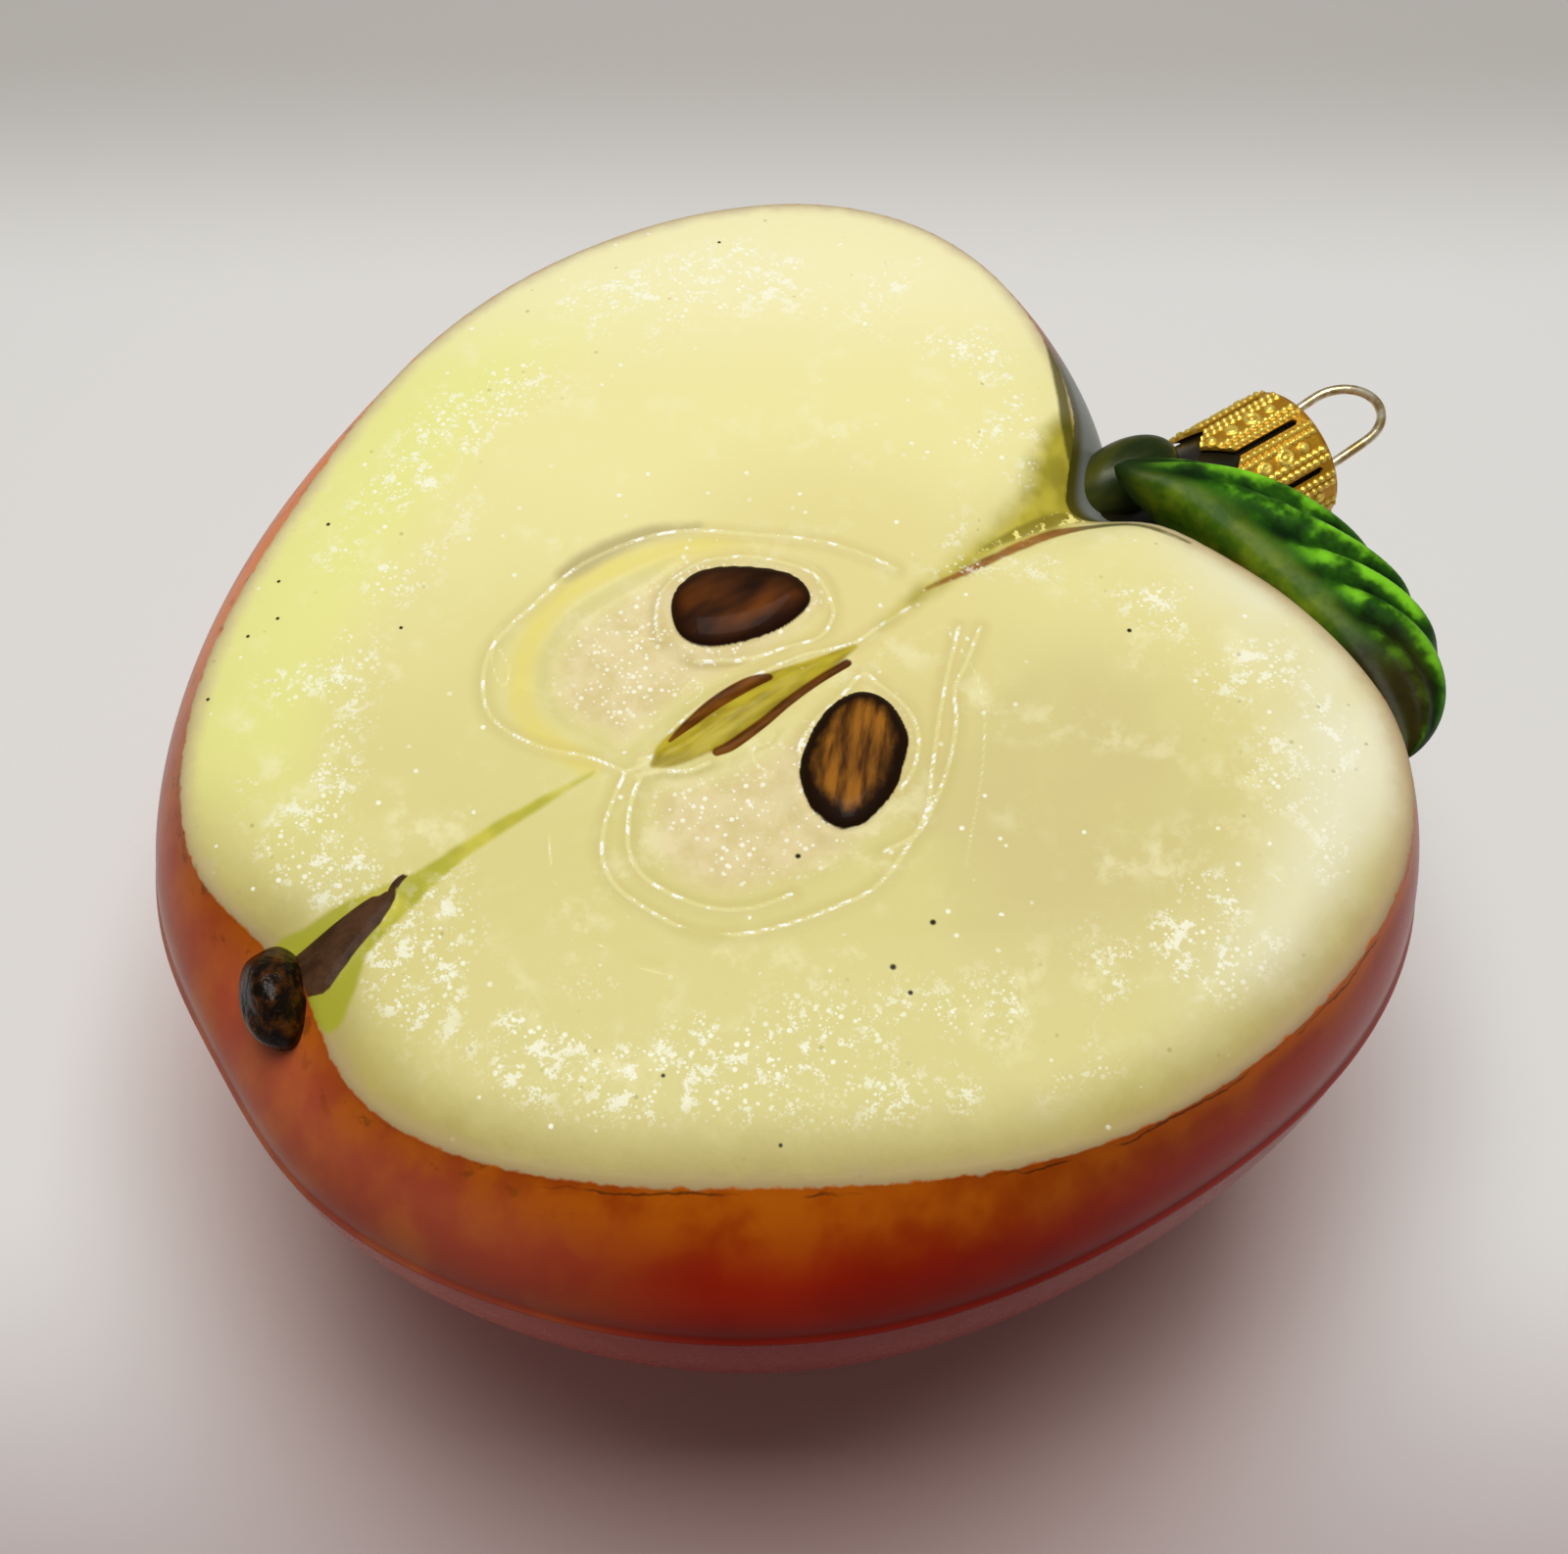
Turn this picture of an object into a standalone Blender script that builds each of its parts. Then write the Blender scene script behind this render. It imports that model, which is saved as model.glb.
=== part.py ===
"""A glass Christmas ornament in the shape of half an apple, lying on its round belly.

Units are metres and +Z is up. +X points along the apple's core, from the calyx to the stem,
where the metal cap and its wire loop sit. The origin is the centre of the small flat spot
that the belly rests on. The body is an apple turned about its core axis, with the upper part
cut away above the axis, so that the pale face lies higher than the widest part.
"""

import math

import bmesh
import bpy
from mathutils import Matrix, Vector

MM = 0.001

# Apple body: a radius from the core's centre that waves as it turns away from the stem
BODY_RADIUS = 44.2 * MM
BODY_WAVES = {1: 0.018, 2: 0.030, 3: 0.070, 4: 0.034, 5: 0.017}
LOPSIDED = 0.9 * MM
STEM_CAVITY = 2.5 * MM
CALYX_BASIN = 1.4 * MM
HOLLOW_SPREAD = 0.22
FLAT_DEPTH = 1.3 * MM
SEAM_RIDGE = 0.3 * MM

# Cut face: the outline of the painted flesh, seen from above
FACE_RADIUS = 40.0 * MM
FACE_WAVES = {2: 0.050, 3: 0.100, 4: 0.040, 5: 0.020, 6: 0.014}
FACE_ABOVE_AXIS = 10.0 * MM
# Dents in that outline: direction, spread and depth, where a negative depth is a swelling
STEM_NOTCH = (math.radians(2.3), math.radians(7.0), 3.6 * MM)
CALYX_NOTCH = (math.radians(183.0), math.radians(11.0), 3.7 * MM)
CALYX_LOBES = (math.radians(183.0), math.radians(25.0), -1.2 * MM)
CROWN = 0.6 * MM
EDGE_ROUNDING = 1.3 * MM
CORE_DISH = 0.7 * MM
CORE_RADIUS = 15.0 * MM
STEM_GROOVE = (26.0 * MM, 9.0 * MM, 3.2 * MM, 1.8 * MM)
CALYX_GROOVE = (-38.0 * MM, 9.0 * MM, 2.6 * MM, 1.1 * MM)

# Mesh of the body
AROUND = 80
FACE_RINGS = 12
SHOULDER_RINGS = 6
BELLY_RINGS = 14

# Neck, metal cap and wire
NECK_RADIUS = 5.15 * MM
NECK_START = 28.0 * MM
NECK_END = 48.3 * MM
COLLAR_RADIUS = 7.4 * MM
COLLAR_END = 36.0 * MM
NECK_SIDE = 0.3 * MM
CAP_RADIUS = 5.9 * MM
CAP_WALL = 0.4 * MM
CAP_START = 41.0 * MM
CAP_END = 50.4 * MM
CAP_TABS = 8
SLIT_WIDTH = 0.6 * MM
SLIT_LEFT_AT_TOP = 1.8 * MM
SLIT_TURN = math.radians(5)
TAB_CHAMFER = 2.1 * MM
WIRE_RADIUS = 0.4 * MM
WIRE_HOLE_RADIUS = 0.75 * MM
LOOP_HALF_WIDTH = 3.2 * MM
LOOP_REACH = 8.0 * MM
LOOP_LIFT = 0.5 * MM
LOOP_PITCH = math.radians(10)
LOOP_ROLL = math.radians(-12)
WIRE_FOOT = 1.0 * MM

# Relief moulded in the glass: centre (x, y, height over the face) and half sizes
SEEDS = {
    "far_seed": ((1.4, 5.6, 0.7), (5.0, 3.3, 1.7), -20.0),
    "near_seed": ((1.0, -9.6, 0.7), (5.6, 3.2, 1.7), 47.0),
}
CALYX_STUB = ((-39.8, -2.4, -1.5), (2.4, 3.6, 3.2), -20.0)
STALK = ((34.2, 2.6, -4.2), (4.8, 2.8, 2.8), 0.0)

# Leaf moulded on the stem-side shoulder
LEAF_START = math.radians(2.0)
LEAF_TIP = math.radians(-41.5)
LEAF_HALF_WIDTH = 5.7 * MM
LEAF_OVERHANG = 0.86
LEAF_OVERLAP = 0.4 * MM
LEAF_DROP = 0.9 * MM
LEAF_SAG = 1.2 * MM
LEAF_OUTSET = 4.3 * MM
LEAF_LIFT = 1.6 * MM
LEAF_CROWN = 2.2 * MM
LEAF_BACKING = 7.0 * MM
LEAF_TILT = math.radians(20.0)
LEAF_VEINS = 6
LEAF_VEIN_DEPTH = 0.35 * MM


def wavy_radius(angle, size, waves):
    return size * (1 - sum(share * math.cos(k * angle) for k, share in waves.items()))


def body_radius(from_stem):
    """Distance of the skin from the core's centre, at an angle from the stem's direction."""
    cavity = STEM_CAVITY * math.exp(-((from_stem / HOLLOW_SPREAD) ** 2))
    basin = CALYX_BASIN * math.exp(-(((math.pi - from_stem) / HOLLOW_SPREAD) ** 2))
    return wavy_radius(from_stem, BODY_RADIUS, BODY_WAVES) - cavity - basin


def lean(around):
    """How far the skin stands off an evenly turned body, all round the seam."""
    return LOPSIDED * math.sin(2 * around)


def dent(around, direction, spread, depth):
    """A smooth dent of an outline, deepest in one direction."""
    away = math.remainder(around - direction, 2 * math.pi)
    return depth * math.exp(-((away / spread) ** 2))


def face_radius(around):
    """Distance of the flesh's edge from the face's centre, in a direction seen from above."""
    dents = sum(dent(around, *sizes) for sizes in (STEM_NOTCH, CALYX_NOTCH, CALYX_LOBES))
    return wavy_radius(around, FACE_RADIUS, FACE_WAVES) - dents


def widest_point():
    """(distance along the core, radius) of the turned body where it is thickest."""
    angles = [math.pi * step / 720 for step in range(721)]
    angle = max(angles, key=lambda a: body_radius(a) * math.sin(a))
    return body_radius(angle) * math.cos(angle), body_radius(angle) * math.sin(angle)


WIDEST_X, WIDEST_RADIUS = widest_point()
AXIS_HEIGHT = WIDEST_RADIUS - FLAT_DEPTH
FACE_HEIGHT = AXIS_HEIGHT + FACE_ABOVE_AXIS
CENTRE = Vector((-WIDEST_X, 0.0, AXIS_HEIGHT))


def groove(x, y, end, length, half_width, depth):
    """A valley along the core, deepest at its outer end."""
    along = math.exp(-(((x - end) / length) ** 2)) if x / end < 1 else 1.0
    return depth * along * math.exp(-((y / half_width) ** 2))


def face_relief(x, y):
    """Height of the glass over the flesh's edge, at a place on the face."""
    out = min(math.hypot(x, y) / face_radius(math.atan2(y, x)), 1.0)
    crown = CROWN * (1 - out**2) + EDGE_ROUNDING * (1 - out**8)
    dish = CORE_DISH * math.exp(-((math.hypot(x, y) / CORE_RADIUS) ** 4))
    return crown - dish - groove(x, y, *STEM_GROOVE) - groove(x, y, *CALYX_GROOVE)


def shoulder_point(around, t):
    """(radius, height over the axis) between the flesh's edge, t = 0, and the seam, t = 1."""
    edge = face_radius(around)
    seam = body_radius(abs(around)) + lean(around) + SEAM_RIDGE
    x, y = edge * math.cos(around), edge * math.sin(around)
    top = FACE_ABOVE_AXIS + face_relief(x, y)
    radii = (edge, edge + 0.12 * (seam - edge), seam, seam)
    heights = (top, 0.92 * top, 0.5 * top, 0.0)
    weights = ((1 - t) ** 3, 3 * t * (1 - t) ** 2, 3 * t * t * (1 - t), t**3)
    return tuple(sum(w * v for w, v in zip(weights, line)) for line in (radii, heights))


def body_point(around, ring):
    """A point of the body's skin from the core's centre, on a ring counted from the top."""
    if ring <= FACE_RINGS:
        radius = face_radius(around) * math.sin(0.5 * math.pi * ring / FACE_RINGS)
        x, y = radius * math.cos(around), radius * math.sin(around)
        return Vector((x, y, FACE_ABOVE_AXIS + face_relief(x, y)))
    if ring <= FACE_RINGS + SHOULDER_RINGS:
        radius, height = shoulder_point(around, (ring - FACE_RINGS) / SHOULDER_RINGS)
        return Vector((radius * math.cos(around), radius * math.sin(around), height))
    down = 0.5 * math.pi * (ring - FACE_RINGS - SHOULDER_RINGS) / BELLY_RINGS
    level = math.cos(down)
    way = Vector((level * math.cos(around), level * math.sin(around), -math.sin(down)))
    from_stem = math.acos(max(-1.0, min(1.0, way.x)))
    return way * (body_radius(from_stem) + lean(around) * level**2)


def material(name, colour, roughness, metallic=0.0):
    made = bpy.data.materials.new(name)
    made.use_nodes = True
    shader = made.node_tree.nodes["Principled BSDF"]
    shader.inputs["Base Color"].default_value = (*colour, 1.0)
    shader.inputs["Roughness"].default_value = roughness
    shader.inputs["Metallic"].default_value = metallic
    return made


def add_object(name, bm, collection, finish=None):
    bmesh.ops.recalc_face_normals(bm, faces=bm.faces)
    mesh = bpy.data.meshes.new(name)
    bm.to_mesh(mesh)
    bm.free()
    mesh.shade_smooth()
    mesh.set_sharp_from_angle(angle=math.radians(40))
    made = bpy.data.objects.new(name, mesh)
    collection.objects.link(made)
    if finish:
        mesh.materials.append(finish)
    else:
        made.hide_render = True
        made.display_type = "WIRE"
    return made


def boolean(target, helper, operation):
    step = target.modifiers.new(helper.name, "BOOLEAN")
    step.operation = operation
    step.object = helper


def sphere(segments, rings):
    bm = bmesh.new()
    bmesh.ops.create_uvsphere(bm, u_segments=segments, v_segments=rings, radius=1.0)
    return bm


def body_mesh():
    """A ball whose rings are drawn to the face, the rounded shoulder and the belly."""
    rings = FACE_RINGS + SHOULDER_RINGS + BELLY_RINGS
    bm = sphere(AROUND, rings)
    for vert in bm.verts:
        ring = round(rings * math.acos(max(-1.0, min(1.0, vert.co.z))) / math.pi)
        around = math.atan2(vert.co.y, vert.co.x)
        vert.co = CENTRE + body_point(around, ring)
    return bm


def floor_cutter():
    """A block under the belly, which leaves the small flat spot."""
    bm = bmesh.new()
    size = 2 * BODY_RADIUS
    bmesh.ops.create_cube(bm, size=size, matrix=Matrix.Translation((0, 0, -size / 2)))
    return bm


def relief_ball(centre, half_sizes, turn):
    """A moulded lump, at a place given over the face and turned about the vertical."""
    bm = sphere(20, 12)
    x, y, lift = (value * MM for value in centre)
    height = FACE_ABOVE_AXIS + lift
    place = Matrix.Translation(CENTRE + Vector((x, y, height)))
    spin = Matrix.Rotation(math.radians(turn), 4, "Z")
    size = Matrix.Diagonal((*(value * MM for value in half_sizes), 1.0))
    bmesh.ops.transform(bm, matrix=place @ spin @ size, verts=bm.verts)
    return bm


def along_core(start):
    """Turns a piece made along +Z to run along the core, from a distance along it."""
    place = Matrix.Translation(CENTRE + Vector((start, NECK_SIDE, 0)))
    return place @ Matrix.Rotation(math.radians(90), 4, "Y")


def core_cylinder(start, end, start_radius, end_radius, segments):
    bm = bmesh.new()
    bmesh.ops.create_cone(
        bm,
        cap_ends=True,
        segments=segments,
        radius1=start_radius,
        radius2=end_radius,
        depth=end - start,
        matrix=along_core((start + end) / 2),
    )
    return bm


def leaf_frame(t):
    """(centre, outward way, upward way) of the leaf at a share t of its length."""
    around = LEAF_START + t * (LEAF_TIP - LEAF_START)
    away = Vector((math.cos(around), math.sin(around), 0))
    by_stalk = (1 - t) ** 2
    reach = face_radius(around) + LEAF_OUTSET * by_stalk - LEAF_OVERLAP
    reach += LEAF_HALF_WIDTH * LEAF_OVERHANG * leaf_outline(t)
    drop = LEAF_DROP + LEAF_SAG * math.sin(math.pi * t) - LEAF_LIFT * by_stalk
    centre = CENTRE + away * reach + Vector((0, 0, FACE_ABOVE_AXIS - drop))
    out = (away * math.cos(LEAF_TILT) - Vector((0, 0, math.sin(LEAF_TILT)))).normalized()
    up = (away * math.sin(LEAF_TILT) + Vector((0, 0, math.cos(LEAF_TILT)))).normalized()
    return centre, out, up


def leaf_outline(t):
    """Share of the leaf's full half width: broad in the first half, drawn out to the tip."""
    return math.sin(math.pi * t**0.85) ** 0.75 if 0 < t < 1 else 0.0


def leaf_mesh():
    """A ball drawn out along the shoulder into a thick, pointed leaf with slanting veins."""
    bm = sphere(16, 24)
    for vert in bm.verts:
        t = 0.5 - 0.5 * vert.co.z
        ring = math.hypot(vert.co.x, vert.co.y)
        across, lift = (vert.co.x / ring, vert.co.y / ring) if ring > 1e-6 else (0, 0)
        centre, out, up = leaf_frame(t)
        width = LEAF_HALF_WIDTH * leaf_outline(t)
        backing = LEAF_BACKING * leaf_outline(t) * min(1.0, 0.65 + 1.5 * t)
        thickness = LEAF_CROWN * leaf_outline(t) ** 0.7 if lift > 0 else backing
        vein = LEAF_VEIN_DEPTH * math.cos(2 * math.pi * (LEAF_VEINS * t - 0.9 * across))
        vein *= leaf_outline(t) * max(lift, 0.0)
        vert.co = centre + out * (across * width) + up * (lift * thickness + vein)
    return bm


def cap_profile(collection, finish):
    """A thin cup turned about the core: a flat top and a straight skirt."""
    bm = bmesh.new()
    inside = CAP_RADIUS - CAP_WALL / 2
    top = CAP_END - CAP_START - CAP_WALL / 2
    rounding = 0.7 * MM
    line = [(inside, 0.0), (inside, top - rounding), (inside - 0.3 * rounding, top - 0.3 * rounding)]
    line += [(inside - rounding, top), (0.0, top)]
    verts = [bm.verts.new((radius, 0.0, height)) for radius, height in line]
    for first, second in zip(verts, verts[1:]):
        bm.edges.new((first, second))
    mesh = bpy.data.meshes.new("cap")
    bm.to_mesh(mesh)
    bm.free()
    mesh.materials.append(finish)
    cap = bpy.data.objects.new("cap", mesh)
    collection.objects.link(cap)
    cap.matrix_world = along_core(CAP_START)
    turned = cap.modifiers.new("turned", "SCREW")
    turned.axis = "Z"
    turned.steps = turned.render_steps = 48
    turned.use_merge_vertices = True
    turned.merge_threshold = 0.00001
    turned.use_normal_calculate = True
    wall = cap.modifiers.new("wall", "SOLIDIFY")
    wall.thickness = CAP_WALL
    wall.offset = 0.0
    wall.use_even_offset = True
    return cap


def slit_mesh(angle):
    """A narrow slot between two tabs, which opens in a V at the skirt's edge."""
    bm = bmesh.new()
    past = 1.0 * MM
    length = CAP_END - CAP_START - SLIT_LEFT_AT_TOP + past
    depth = 3.0 * MM
    slot = Matrix.Translation((CAP_RADIUS, 0, length / 2 - past))
    slot = slot @ Matrix.Diagonal((depth, SLIT_WIDTH, length, 1.0))
    bmesh.ops.create_cube(bm, size=1.0, matrix=slot)
    around = along_core(CAP_START) @ Matrix.Rotation(angle, 4, "Z")
    bmesh.ops.transform(bm, matrix=around, verts=bm.verts)
    return bm


def mouth_mesh(angle):
    """A square block set on its corner, which gives two tabs their slanting ends."""
    bm = bmesh.new()
    side = TAB_CHAMFER * math.sqrt(2)
    corner = Matrix.Translation((CAP_RADIUS, 0, 0)) @ Matrix.Rotation(math.radians(45), 4, "X")
    block = corner @ Matrix.Diagonal((3.1 * MM, side, side, 1.0))
    bmesh.ops.create_cube(bm, size=1.0, matrix=block)
    around = along_core(CAP_START) @ Matrix.Rotation(angle, 4, "Z")
    bmesh.ops.transform(bm, matrix=around, verts=bm.verts)
    return bm


def loop_frame():
    """Where the loose wire hangs in the cap: tipped up a little and rolled to one side."""
    place = Matrix.Translation(CENTRE + Vector((CAP_END, NECK_SIDE, LOOP_LIFT)))
    tilt = Matrix.Rotation(-LOOP_PITCH, 4, "Y") @ Matrix.Rotation(LOOP_ROLL, 4, "X")
    return place @ tilt


def wire_points():
    """One leg inside the cap, the round loop beyond it, and back to the other leg."""
    foot = -CAP_WALL - WIRE_FOOT
    bend = LOOP_REACH - LOOP_HALF_WIDTH - WIRE_RADIUS
    steps = 14
    turns = [math.pi * step / steps for step in range(steps + 1)]
    arc = [
        (bend + LOOP_HALF_WIDTH * math.sin(turn), LOOP_HALF_WIDTH * math.cos(turn))
        for turn in turns
    ]
    line = [(foot, LOOP_HALF_WIDTH), *arc, (foot, -LOOP_HALF_WIDTH)]
    return [loop_frame() @ Vector((x, y, 0)) for x, y in line]


def wire_object(collection, finish):
    curve = bpy.data.curves.new("hanger_wire", "CURVE")
    curve.dimensions = "3D"
    curve.bevel_depth = WIRE_RADIUS
    curve.bevel_resolution = 2
    curve.use_fill_caps = True
    points = wire_points()
    spline = curve.splines.new("POLY")
    spline.points.add(len(points) - 1)
    for point, place in zip(spline.points, points):
        point.co = (*place, 1.0)
    curve.materials.append(finish)
    collection.objects.link(bpy.data.objects.new("hanger_wire", curve))


def build_body(parts, cutters, glass):
    body = add_object("glass_body", body_mesh(), parts, glass)
    collar = core_cylinder(NECK_START, COLLAR_END, COLLAR_RADIUS, 0.9 * NECK_RADIUS, 20)
    neck = core_cylinder(NECK_START, NECK_END, NECK_RADIUS, NECK_RADIUS, 28)
    joined = {
        "leaf": leaf_mesh(),
        "collar": collar,
        "neck": neck,
        "calyx_stub": relief_ball(*CALYX_STUB),
        "stalk": relief_ball(*STALK),
        **{name: relief_ball(*sizes) for name, sizes in SEEDS.items()},
    }
    for name, bm in joined.items():
        boolean(body, add_object(f"shape_{name}", bm, cutters), "UNION")
    boolean(body, add_object("floor_cutter", floor_cutter(), cutters), "DIFFERENCE")


def build_cap(parts, cutters, gold):
    cap = cap_profile(parts, gold)
    for tab in range(CAP_TABS):
        angle = SLIT_TURN + 2 * math.pi * tab / CAP_TABS
        boolean(cap, add_object(f"slit_{tab}", slit_mesh(angle), cutters), "DIFFERENCE")
        boolean(cap, add_object(f"mouth_{tab}", mouth_mesh(angle), cutters), "DIFFERENCE")
    for side in (-1, 1):
        hole = bmesh.new()
        place = loop_frame() @ Matrix.Translation((0, side * LOOP_HALF_WIDTH, 0))
        bmesh.ops.create_cone(
            hole,
            cap_ends=True,
            segments=16,
            radius1=WIRE_HOLE_RADIUS,
            radius2=WIRE_HOLE_RADIUS,
            depth=4 * CAP_WALL,
            matrix=place @ Matrix.Rotation(math.radians(90), 4, "Y"),
        )
        boolean(cap, add_object(f"wire_hole_{side}", hole, cutters), "DIFFERENCE")


def main():
    for leftover in list(bpy.data.objects):
        bpy.data.objects.remove(leftover, do_unlink=True)
    parts = bpy.data.collections.new("apple_half_ornament")
    cutters = bpy.data.collections.new("cutters")
    for collection in (parts, cutters):
        bpy.context.scene.collection.children.link(collection)
    build_body(parts, cutters, material("painted_glass", (0.80, 0.75, 0.42), 0.15))
    build_cap(parts, cutters, material("gold_cap", (0.72, 0.45, 0.08), 0.3, 1.0))
    wire_object(parts, material("steel_wire", (0.55, 0.50, 0.38), 0.3, 1.0))


main()
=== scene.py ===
import math

import bmesh
import bpy
import numpy as np
from mathutils import Matrix, Vector


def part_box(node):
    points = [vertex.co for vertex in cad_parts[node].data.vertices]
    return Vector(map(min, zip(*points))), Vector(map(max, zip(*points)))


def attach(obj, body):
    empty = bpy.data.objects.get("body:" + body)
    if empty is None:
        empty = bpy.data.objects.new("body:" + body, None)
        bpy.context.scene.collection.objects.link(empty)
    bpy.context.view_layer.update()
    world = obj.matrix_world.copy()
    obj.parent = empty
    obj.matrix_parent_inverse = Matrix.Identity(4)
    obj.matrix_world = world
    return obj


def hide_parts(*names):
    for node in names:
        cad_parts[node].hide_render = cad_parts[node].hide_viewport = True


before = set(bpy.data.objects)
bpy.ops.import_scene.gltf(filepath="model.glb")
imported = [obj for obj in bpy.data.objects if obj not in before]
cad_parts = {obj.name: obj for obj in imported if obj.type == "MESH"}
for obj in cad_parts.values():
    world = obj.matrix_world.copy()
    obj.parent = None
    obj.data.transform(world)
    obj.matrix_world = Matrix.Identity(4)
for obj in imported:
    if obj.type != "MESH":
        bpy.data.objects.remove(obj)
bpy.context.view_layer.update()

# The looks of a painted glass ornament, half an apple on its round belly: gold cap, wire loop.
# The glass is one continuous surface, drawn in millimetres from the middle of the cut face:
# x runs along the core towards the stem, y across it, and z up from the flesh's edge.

MM = 0.001

# The apple's shape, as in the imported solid
BODY_RADIUS = 44.15
BODY_WAVES = {1: 0.018, 2: 0.030, 3: 0.070, 4: 0.034, 5: 0.017}
LOPSIDED = 0.9
STEM_CAVITY = 2.5
CALYX_BASIN = 1.4
HOLLOW_SPREAD = 0.22
SEAM_RIDGE = 0.3
SEAM_WIDTH = 0.35
FACE_RADIUS = 40.0
FACE_WAVES = {2: 0.050, 3: 0.100, 4: 0.040, 5: 0.020, 6: 0.014}
FACE_ABOVE_AXIS = 10.0
STEM_NOTCH = (math.radians(2.3), math.radians(7.0), 3.6)
CALYX_NOTCH = (math.radians(183.0), math.radians(11.0), 3.7)
CALYX_LOBES = (math.radians(183.0), math.radians(25.0), -1.2)
CROWN = 0.6
EDGE_ROUNDING = 1.3
CORE_DISH = 0.7
CORE_RADIUS = 15.0
STEM_GROOVE = (26.0, 9.0, 3.2, 1.8)
CALYX_GROOVE = (-38.0, 9.0, 2.6, 1.1)
SEED_TOP = 2.4
NECK_RADIUS = 5.15
NECK_START = 28.0
NECK_END = 48.3
COLLAR_RADIUS = 7.4
COLLAR_END = 36.0
NECK_SIDE = 0.3
CAP_RADIUS = 5.9
CAP_WALL = 0.4
CAP_START = 41.0
CAP_END = 50.4
CAP_TABS = 8
SLIT_WIDTH = 0.6
SLIT_LEFT_AT_TOP = 1.8
SLIT_TURN = math.radians(5)
TAB_CHAMFER = 2.1
CAP_DEPTH = CAP_END - CAP_START
WIRE_RADIUS = 0.4
LOOP_HALF_WIDTH = 3.2
LOOP_REACH = 8.0
LOOP_LIFT = 0.5
LOOP_PITCH = math.radians(10)
LOOP_ROLL = math.radians(-12)
WIRE_FOOT = 1.0
CALYX_STUB = ((-39.8, -2.4, -1.5), (2.4, 3.6, 3.2), math.radians(-20.0))
STALK = ((34.2, 2.6, -4.2), (4.8, 2.8, 2.8), 0.0)
LEAF_START = math.radians(2.0)
LEAF_TIP = math.radians(-41.5)
LEAF_HALF_WIDTH = 5.7
LEAF_OVERHANG = 0.86
LEAF_OVERLAP = 0.4
LEAF_DROP = 0.9
LEAF_SAG = 1.2
LEAF_OUTSET = 4.3
LEAF_LIFT = 1.6
LEAF_CROWN = 2.2
LEAF_BACKING = 7.0
LEAF_TILT = math.radians(20.0)
LEAF_VEINS = 6
LEAF_VEIN_DEPTH = 0.42

# Where the frame puts it: the seeds are its highest place, and the cap ends on the core's axis
FACE_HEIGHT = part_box("glass_body")[1].z / MM - SEED_TOP
CORE_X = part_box("cap")[1].x / MM - CAP_END
FACE_CENTRE = np.array((CORE_X, 0.0, FACE_HEIGHT))
AXIS_CENTRE = FACE_CENTRE - (0.0, 0.0, FACE_ABOVE_AXIS)

# Mesh of the glass
AROUND = 400
CORE_RINGS = 84
CORE_REACH = 21.0
OUTER_RINGS = 30
SHOULDER_RINGS = 26
BELLY_RINGS = 46
# Mesh and pressed pattern of the cap: rows of beads (inset from a tab's side, share of a step that
# they are shifted by) and ringed bosses (height up the skirt, radius of the ring)
TAB_COLUMNS = 40
TAB_ROWS = 64
CAP_OUTER = CAP_RADIUS - 0.33
CAP_FOIL = 0.25
BEAD_STEP = 0.62
BEAD_ROWS = ((0.75, 0.5), (1.45, 0.0))
BOSSES = ((1.25, 0.1984), (3.2, 0.3844), (5.2, 0.527), (7.0, 0.248))
# How far the face's paint may run down the skin, and the distance that stands for none of it
PAINT_OVERHANG = 6.0
FAR_OFF = 50.0

# Relief moulded in the face, and the outlines painted on it
FAR_SEED = [(-3.4, 5.8), (-2.7, 8.0), (-1.2, 9.3), (1.0, 9.5), (3.4, 8.3), (5.7, 6.2),
            (6.3, 4.4), (5.6, 2.9), (3.0, 2.3), (0.0, 2.8), (-2.5, 4.0)]
NEAR_SEED = [(4.1, -5.0), (5.5, -6.6), (5.3, -9.4), (4.1, -11.1), (1.5, -13.2), (-1.1, -14.1),
             (-2.9, -13.6), (-3.6, -11.5), (-3.1, -9.0), (-1.5, -7.0), (1.3, -5.3)]
FAR_CHAMBER = [(-11.8, -1.0), (-13.4, 1.6), (-14.6, 4.0), (-14.6, 6.4), (-13.7, 8.7), (-12.0, 10.5),
               (-9.2, 11.8), (-6.0, 12.3), (-2.6, 12.3), (1.0, 11.8), (5.0, 9.6), (8.4, 5.6),
               (7.5, 1.6), (2.0, 0.2), (-5.0, 0.2)]
NEAR_CHAMBER = [(-11.6, -2.6), (-14.4, -5.4), (-15.6, -8.0), (-15.2, -11.0), (-13.2, -14.0),
                (-9.8, -15.6), (-5.5, -16.5), (-1.0, -16.0), (3.4, -13.6), (6.8, -9.6), (7.0, -5.6),
                (3.0, -4.0), (-6.0, -4.0)]
NEAR_SEED_TURN = math.radians(49)
SEED_DOME = 2.6
SEED_RISE = 1.0
CHAMBER_DEPTH = 0.55
CHAMBER_WALL = 1.5
RIDGE_HEIGHT = 0.12
RIDGE_WIDTH = 0.22
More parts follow.
